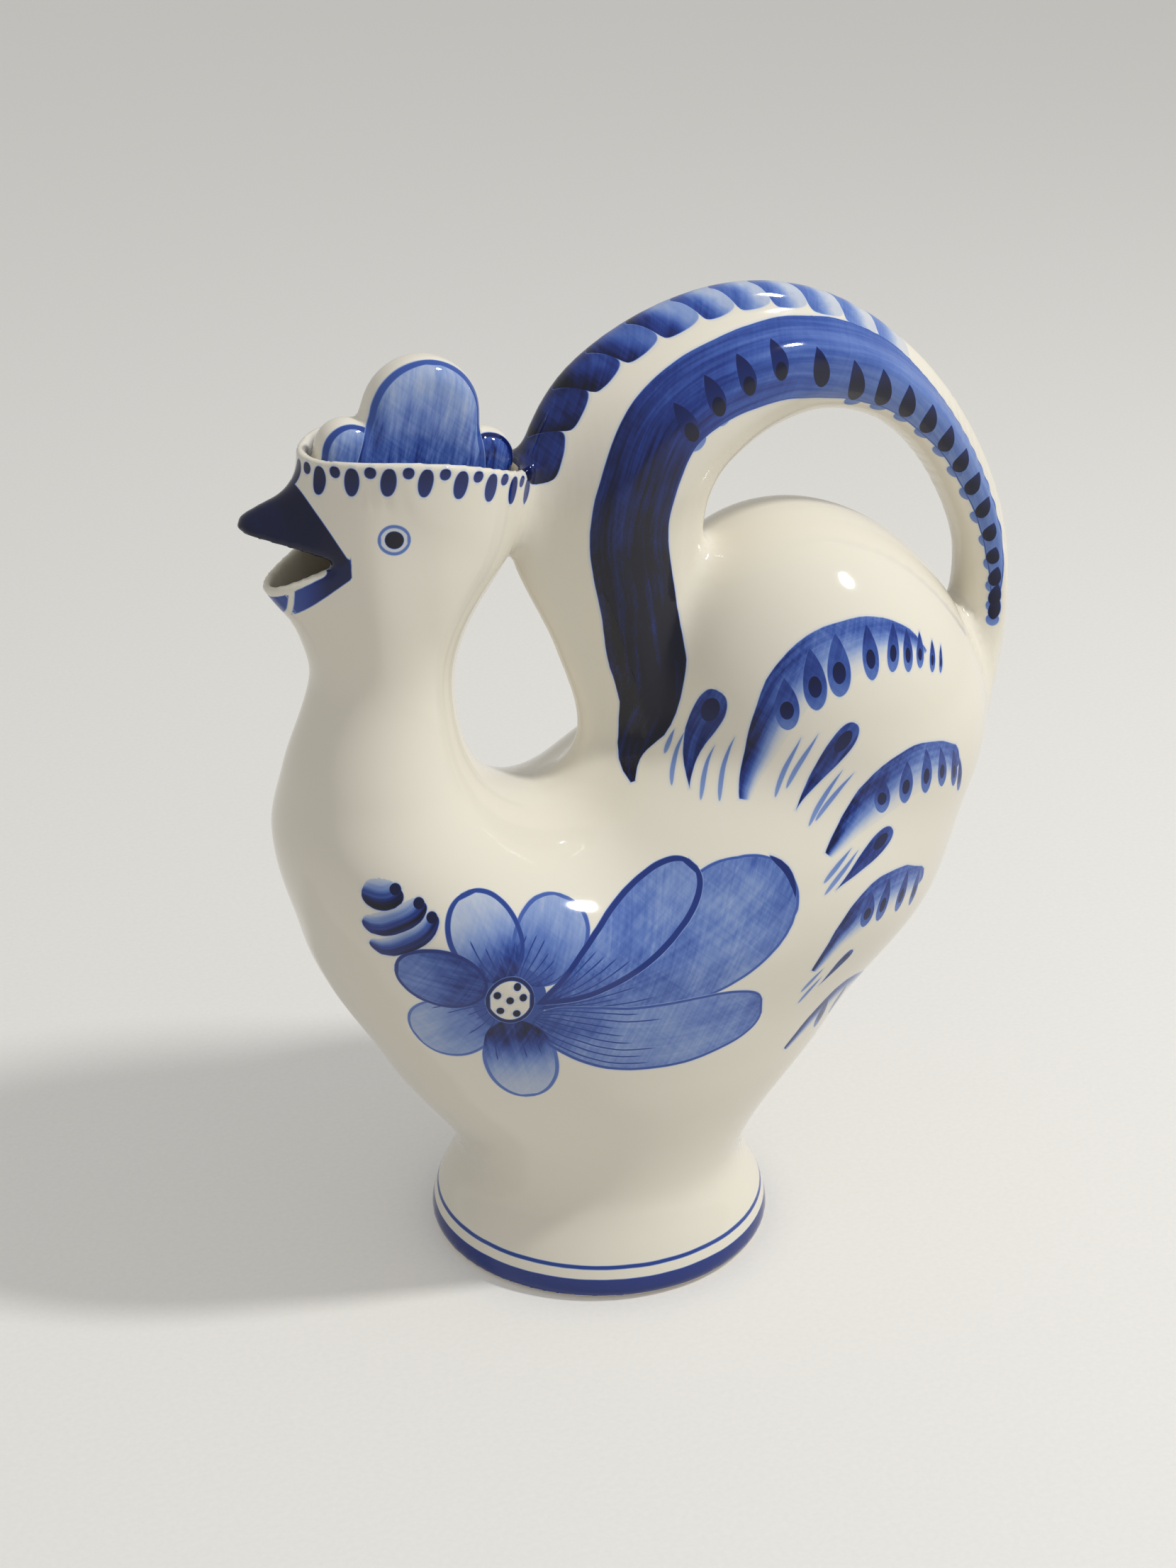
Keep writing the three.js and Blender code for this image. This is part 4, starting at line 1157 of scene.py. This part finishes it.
# %% Brush layer: pigment
# Thinner to the right, streaked along by the bristles, hatched by the turning of the ware
half_or_more = add(g, MATH, half, LEAST_HALF, operation="MAXIMUM")
across = add(g, MATH, right, half_or_more, operation="DIVIDE")
to_right = add(g, RANGE, across, *FADE_SPAN, interpolation_type="SMOOTHSTEP")
thinned = add(g, MATH, to_right, load[0], operation="MULTIPLY")
kept = add(g, MATH, 1.0, thinned, operation="SUBTRACT")
run = add(g, MATH, along, length, operation="MULTIPLY")
on_stroke = add(g, "ShaderNodeCombineXYZ", run, right, length)
lengthwise = add(g, "ShaderNodeMapping", links={0: on_stroke, 3: (1 / BRISTLE_RUN, 1 / BRISTLE_STEP, 1)})
bristles = add(g, NOISE, links={"Vector": lengthwise, "Scale": 1.0, "Detail": 3.0})
bristles = add(g, RANGE, bristles, *NOISE_SPAN, -1.0, 1.0)
streaked = add(g, MATH, bristles, load[1], 1.0, operation="MULTIPLY_ADD")
hatched = add(g, MATH, given["Hatch"], load[2], streaked, operation="MULTIPLY_ADD")
laid = add(g, MATH, given["Tone"], kept, operation="MULTIPLY")
laid = add(g, MATH, laid, hatched, operation="MULTIPLY")

# %% Brush layer: outline and veins
# Outline just inside the edge
band = add(g, MATH, line[1], depth, operation="SUBTRACT")
band = add(g, RANGE, band, -LINE_SOFT, LINE_SOFT, 0.0, line[0], interpolation_type="SMOOTHSTEP")
drawn = add(g, MATH, line[1], LEAST_LINE, operation="GREATER_THAN")
band = add(g, MATH, band, drawn, operation="MULTIPLY")

# Thin lines that fan out from the start, each of its own length
fan = add(g, MATH, across, veins, operation="MULTIPLY")
fan = add(g, MATH, fan, 0.5, operation="MULTIPLY")
number = add(g, MATH, fan, operation="FLOOR")
within = add(g, MATH, fan, number, operation="SUBTRACT")
off_line = add(g, MATH, within, 0.5, operation="SUBTRACT")
off_line = add(g, MATH, off_line, operation="ABSOLUTE")
spacing = add(g, MATH, veins, 1.0, operation="MAXIMUM")
spacing = add(g, MATH, half, spacing, operation="DIVIDE")
spacing = add(g, MATH, spacing, 2.0, operation="MULTIPLY")
off_line = add(g, MATH, off_line, spacing, operation="MULTIPLY")
seed = add(g, MATH, length, VEIN_SEED, number, operation="MULTIPLY_ADD")
chance = add(g, "ShaderNodeTexWhiteNoise", links={"W": seed}, noise_dimensions="1D")
vein_end = add(g, RANGE, chance.outputs["Value"], 0.0, 1.0, *VEIN_ENDS)
vein_left = add(g, MATH, vein_end, along, operation="SUBTRACT")
vein_left = add(g, RANGE, vein_left, 0.0, VEIN_FADE, interpolation_type="SMOOTHSTEP")
vein = add(g, RANGE, off_line, *VEIN_WIDTH, VEIN_TONE, 0.0, interpolation_type="SMOOTHSTEP")
vein = add(g, MATH, vein, vein_left, operation="MULTIPLY")
some = add(g, MATH, veins, 0.5, operation="GREATER_THAN")
vein = add(g, MATH, vein, some, operation="MULTIPLY")

# %% Brush layer: over what lies below
# The stroke hides or deepens what is under it, with a faint bleed round it
mark = add(g, MATH, laid, band, operation="MAXIMUM")
mark = add(g, MATH, mark, vein, operation="MAXIMUM")
mark = add(g, MATH, mark, mask, operation="MULTIPLY")
beside = add(g, MATH, room, to_end, operation="MINIMUM")
bleed = add(g, RANGE, beside, -BLEED, 0.0, 0.0, BLEED_TONE, interpolation_type="SMOOTHSTEP")
bleed = add(g, MATH, bleed, laid, operation="MULTIPLY")
hidden = add(g, MATH, mask, given["Cover"], operation="MULTIPLY")
seen = add(g, MATH, 1.0, hidden, operation="SUBTRACT")
below = add(g, MATH, given["Below"], seen, operation="MULTIPLY")
paint_out = add(g, MATH, below, mark, operation="MAXIMUM")
paint_out = add(g, MATH, paint_out, bleed, operation="MAXIMUM")
add(g, "NodeGroupOutput", links={"Paint": paint_out})
print("brush layer group of", len(g.nodes), "nodes")


# %% Painted ware
WAVER_MM, WAVER_SIZE, WAVER_SHARE = 8.0, 0.26, 0.6
HATCH_STEP_MM, HATCH_RUN_MM = 0.9, 14.0
HATCH_LINES = ((math.radians(24), 0.55), (math.radians(-48), 0.35))
CLOUD_MM, CLOUD_SHARE = 9.0, 0.8
BEAK_EDGE_MM = (-0.2, 0.25)
FOOT_RINGS_MM, RING_SOFT_MM = ((1.5, 6.6, 0.8), (9.2, 10.2, 0.74)), 0.2
BARE_FOOT_MM = (1.0, 1.3)
BODY_CLAY, CLAY_ROUGHNESS = "#d9cbb4", 0.75
GLAZE_ROUGHNESS, GLAZE_IOR = 0.07, 1.47
DIP_MM, DIP_HEIGHT_MM, DIP_STRENGTH = 22.0, 1.5, 0.12


def painted_ware(name, layers, on_body):
    """Clear gloss glaze over white earthenware with cobalt strokes under it."""
    made = bpy.data.materials.new(name)
    made.use_nodes = True
    tree = made.node_tree
    shader = tree.nodes["Principled BSDF"]
    place = add(tree, "ShaderNodeTexCoord").outputs["Object"]
    waver = add(tree, NOISE, links={"Vector": place, "Scale": 1 / (WAVER_MM * MM), "Detail": 1.0})
    waver = add(tree, RANGE, waver, 0.2, 0.8, -WAVER_SIZE / 2, WAVER_SIZE / 2)
    cloud = add(tree, NOISE, links={"Vector": place, "Scale": 1 / (CLOUD_MM * MM), "Detail": 2.0})
    hatch = add(tree, RANGE, cloud, 0.3, 0.7, -CLOUD_SHARE, CLOUD_SHARE)
    for lean, share in HATCH_LINES:
        size = (HATCH_STEP_MM * MM, 1, HATCH_RUN_MM * MM)
        lines_at = add(tree, "ShaderNodeMapping", links={0: place, 2: (0, lean, 0), 3: size},
                       vector_type="TEXTURE")
        lines = add(tree, NOISE, links={"Vector": lines_at, "Scale": 1.0, "Detail": 2.0})
        lines = add(tree, RANGE, lines, *NOISE_SPAN, -share, share)
        hatch = add(tree, MATH, lines, hatch, operation="ADD")
    paint_here = 0.0
    for k in range(layers):
        parts = {p: add(tree, "ShaderNodeAttribute", attribute_name=f"{p}_{k}").outputs
                 for p in ("brush", "ends", "load", "line")}
        paint_here = add(tree, "ShaderNodeGroup", node_tree=layer_group, links={
            "Below": paint_here, "Waver": waver, "Hatch": hatch, "Line": parts["line"]["Vector"],
            "Brush": parts["brush"]["Color"], "Tone": parts["brush"]["Alpha"],
            "Ends": parts["ends"]["Color"], "Cover": parts["ends"]["Alpha"],
            "Load": parts["load"]["Color"], "Veins": parts["load"]["Alpha"]})
    height = add(tree, "ShaderNodeSeparateXYZ", place).outputs[2]
    if on_body:
        beak_here = add(tree, "ShaderNodeAttribute", attribute_name="beak").outputs["Vector"]
        beak_here = add(tree, "ShaderNodeSeparateXYZ", beak_here).outputs
        inside = add(tree, MATH, waver, WAVER_SHARE, beak_here[0], operation="MULTIPLY_ADD")
        beak_tone = add(tree, RANGE, inside, *BEAK_EDGE_MM, 0.0, beak_here[1],
                        interpolation_type="SMOOTHSTEP")
        paint_here = add(tree, MATH, paint_here, beak_tone, operation="MAXIMUM")
        for low, high, dark in FOOT_RINGS_MM:
            level = add(tree, MATH, waver, WAVER_SHARE * MM, height, operation="MULTIPLY_ADD")
            off = add(tree, MATH, level, (low + high) / 2 * MM, operation="SUBTRACT")
            off = add(tree, MATH, off, operation="ABSOLUTE")
            edge = (high - low) / 2 * MM
            soft = RING_SOFT_MM * MM
            ring = add(tree, RANGE, off, edge - soft, edge + soft, dark, 0.0,
                       interpolation_type="SMOOTHSTEP")
            paint_here = add(tree, MATH, paint_here, ring, operation="MAXIMUM")
    ramp = add(tree, "ShaderNodeValToRGB", paint_here)
    stops = ramp.color_ramp.elements
    stops[0].position, stops[1].position = PIGMENT[0][0], PIGMENT[-1][0]
    stops[0].color, stops[1].color = linear(PIGMENT[0][1]), linear(PIGMENT[-1][1])
    for at, colour in PIGMENT[1:-1]:
        stops.new(at).color = linear(colour)
    colour = ramp.outputs["Color"]
    if on_body:
        bare = add(tree, RANGE, height, *(level * MM for level in BARE_FOOT_MM), 1.0, 0.0)
        mix = add(tree, "ShaderNodeMix", links={0: bare, 6: colour, 7: linear(BODY_CLAY)},
                  data_type="RGBA")
        colour = mix.outputs[2]
        rough = add(tree, RANGE, bare, 0.0, 1.0, GLAZE_ROUGHNESS, CLAY_ROUGHNESS)
        tree.links.new(rough.outputs[0], shader.inputs["Roughness"])
    else:
        shader.inputs["Roughness"].default_value = GLAZE_ROUGHNESS
    tree.links.new(colour, shader.inputs["Base Color"])
    shader.inputs["IOR"].default_value = GLAZE_IOR
    dip = add(tree, NOISE, links={"Vector": place, "Scale": 1 / (DIP_MM * MM), "Detail": 1.0})
    wave = add(tree, "ShaderNodeBump",
               links={"Strength": DIP_STRENGTH, "Distance": DIP_HEIGHT_MM * MM, "Height": dip})
    tree.links.new(wave.outputs[0], shader.inputs["Normal"])
    return made


body.data.materials.append(painted_ware("glazed_earthenware_body", body_layers, True))
lid.data.materials.append(painted_ware("glazed_earthenware_comb", lid_layers, False))
for made in (*body.data.materials, *lid.data.materials):
    print(made.name, "has", len(made.node_tree.nodes), "nodes")

# %% [markdown]
# ## Studio
# A pale paper floor in an even pale room, one lamp at the upper right for shape and glints, and the
# camera at the photograph's viewing angle: on the bird's left, a little ahead of it, looking down
# at about 25 degrees. The floor runs on far enough to meet the room at nearly the same tone.

# %% Camera
PICTURE = (1659, 2212)
FOCAL_PIXELS = 3800
CAMERA_AZIMUTH, CAMERA_PITCH = math.radians(-23), math.radians(24.7)
CAMERA_DISTANCE = 760.0
FOOT_PIXEL = (845, 1698)
SENSOR_MM = 36

back = Vector((math.sin(CAMERA_AZIMUTH) * math.cos(CAMERA_PITCH),
               -math.cos(CAMERA_AZIMUTH) * math.cos(CAMERA_PITCH),
               math.sin(CAMERA_PITCH)))
right = Vector((0, 0, 1)).cross(back).normalized()
up = back.cross(right)
aside = (FOOT_PIXEL[0] - PICTURE[0] / 2) / FOCAL_PIXELS * CAMERA_DISTANCE
lower = (FOOT_PIXEL[1] - PICTURE[1] / 2) / FOCAL_PIXELS * CAMERA_DISTANCE
eye = back * CAMERA_DISTANCE - right * aside + up * lower + Vector((FOOT_AXIS, 0, 0))
camera = bpy.data.objects.new("camera", bpy.data.cameras.new("camera"))
camera.data.sensor_width = SENSOR_MM
camera.data.lens = FOCAL_PIXELS * SENSOR_MM / max(PICTURE)
camera.matrix_world = Matrix.Translation(eye * MM) @ Matrix((right, up, back)).transposed().to_4x4()
bpy.context.scene.collection.objects.link(camera)
bpy.context.scene.camera = camera
bpy.context.scene.view_settings.view_transform = "Standard"
print("camera at", [round(v, 3) for v in camera.matrix_world.translation])


# %% Floor
PAPER, TOOTH_MM, PAPER_ROUGHNESS = ("#d6d4cf", "#dddbd6"), 1.5, 0.8
FLOOR_GLOW, FLOOR_REACH = 0.22, 9


def pale_paper():
    """Matt coated paper: an even pale grey with a fine tooth. To the camera and in reflections it glows a
    little, so it stays pale without more light on the ware."""
    made = bpy.data.materials.new("pale_paper")
    made.use_nodes = True
    tree = made.node_tree
    shader = tree.nodes["Principled BSDF"]
    place = add(tree, "ShaderNodeTexCoord").outputs["Object"]
    tooth = add(tree, NOISE, links={"Vector": place, "Scale": 1 / (TOOTH_MM * MM), "Detail": 2.0})
    shade = add(tree, "ShaderNodeMix", links={0: tooth, 6: linear(PAPER[0]), 7: linear(PAPER[1])},
                data_type="RGBA")
    tree.links.new(shade.outputs[2], shader.inputs["Base Color"])
    shader.inputs["Roughness"].default_value = PAPER_ROUGHNESS
    ray = add(tree, "ShaderNodeLightPath").outputs
    seen = add(tree, MATH, ray["Is Camera Ray"], ray["Is Glossy Ray"], operation="MAXIMUM")
    seen = add(tree, MATH, seen, ray["Is Transmission Ray"], operation="MAXIMUM")
    glow = add(tree, MATH, seen, FLOOR_GLOW, operation="MULTIPLY")
    tree.links.new(shade.outputs[2], shader.inputs["Emission Color"])
    tree.links.new(glow.outputs[0], shader.inputs["Emission Strength"])
    return made


floor_mesh = bpy.data.meshes.new("floor")
floor_corners = [(x * FLOOR_REACH, y * FLOOR_REACH, 0) for x, y in ((-1, -1), (1, -1), (1, 1), (-1, 1))]
floor_mesh.from_pydata(floor_corners, [], [(0, 1, 2, 3)])
floor = bpy.data.objects.new("floor", floor_mesh)
bpy.context.scene.collection.objects.link(floor)
floor.data.materials.append(pale_paper())
print("floor of", 2 * FLOOR_REACH, "m")

# %% Lamp and room
LAMP_PLACE, LAMP_AIM = Vector((0.75, -0.5, 1.25)), Vector((0, 0, 0.12))
LAMP_SIZE, LAMP_POWER = 0.16, 12.0
ROOM_COLOUR, ROOM_STRENGTH = "#e8e8e8", 0.6

lamp = bpy.data.objects.new("key", bpy.data.lights.new("key", "AREA"))
lamp.data.shape = "DISK"
lamp.data.size = LAMP_SIZE
lamp.data.energy = LAMP_POWER
lamp.location = LAMP_PLACE
lamp.rotation_euler = (LAMP_AIM - LAMP_PLACE).to_track_quat("-Z", "Y").to_euler()
bpy.context.scene.collection.objects.link(lamp)
world = bpy.data.worlds.new("studio")
world.use_nodes = True
room = world.node_tree.nodes["Background"]
room.inputs["Color"].default_value = linear(ROOM_COLOUR)
room.inputs["Strength"].default_value = ROOM_STRENGTH
bpy.context.scene.world = world
print("lamp at", [round(v, 2) for v in lamp.location], "m, room at", ROOM_STRENGTH)

# %% [markdown]
# ## Hand the pieces to the imported model
# Each painted piece stands for its imported solid and moves with that solid's body.

# %% Pieces and bodies
HAND_OVER = [
    # piece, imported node, body, material slot
    (body, "carafe_body", "carafe", "glaze"),
    (lid, "comb_lid", "lid", "cobalt_glaze"),
]

for made, node, body_name, slot in HAND_OVER:
    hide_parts(node)
    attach(made, body_name)
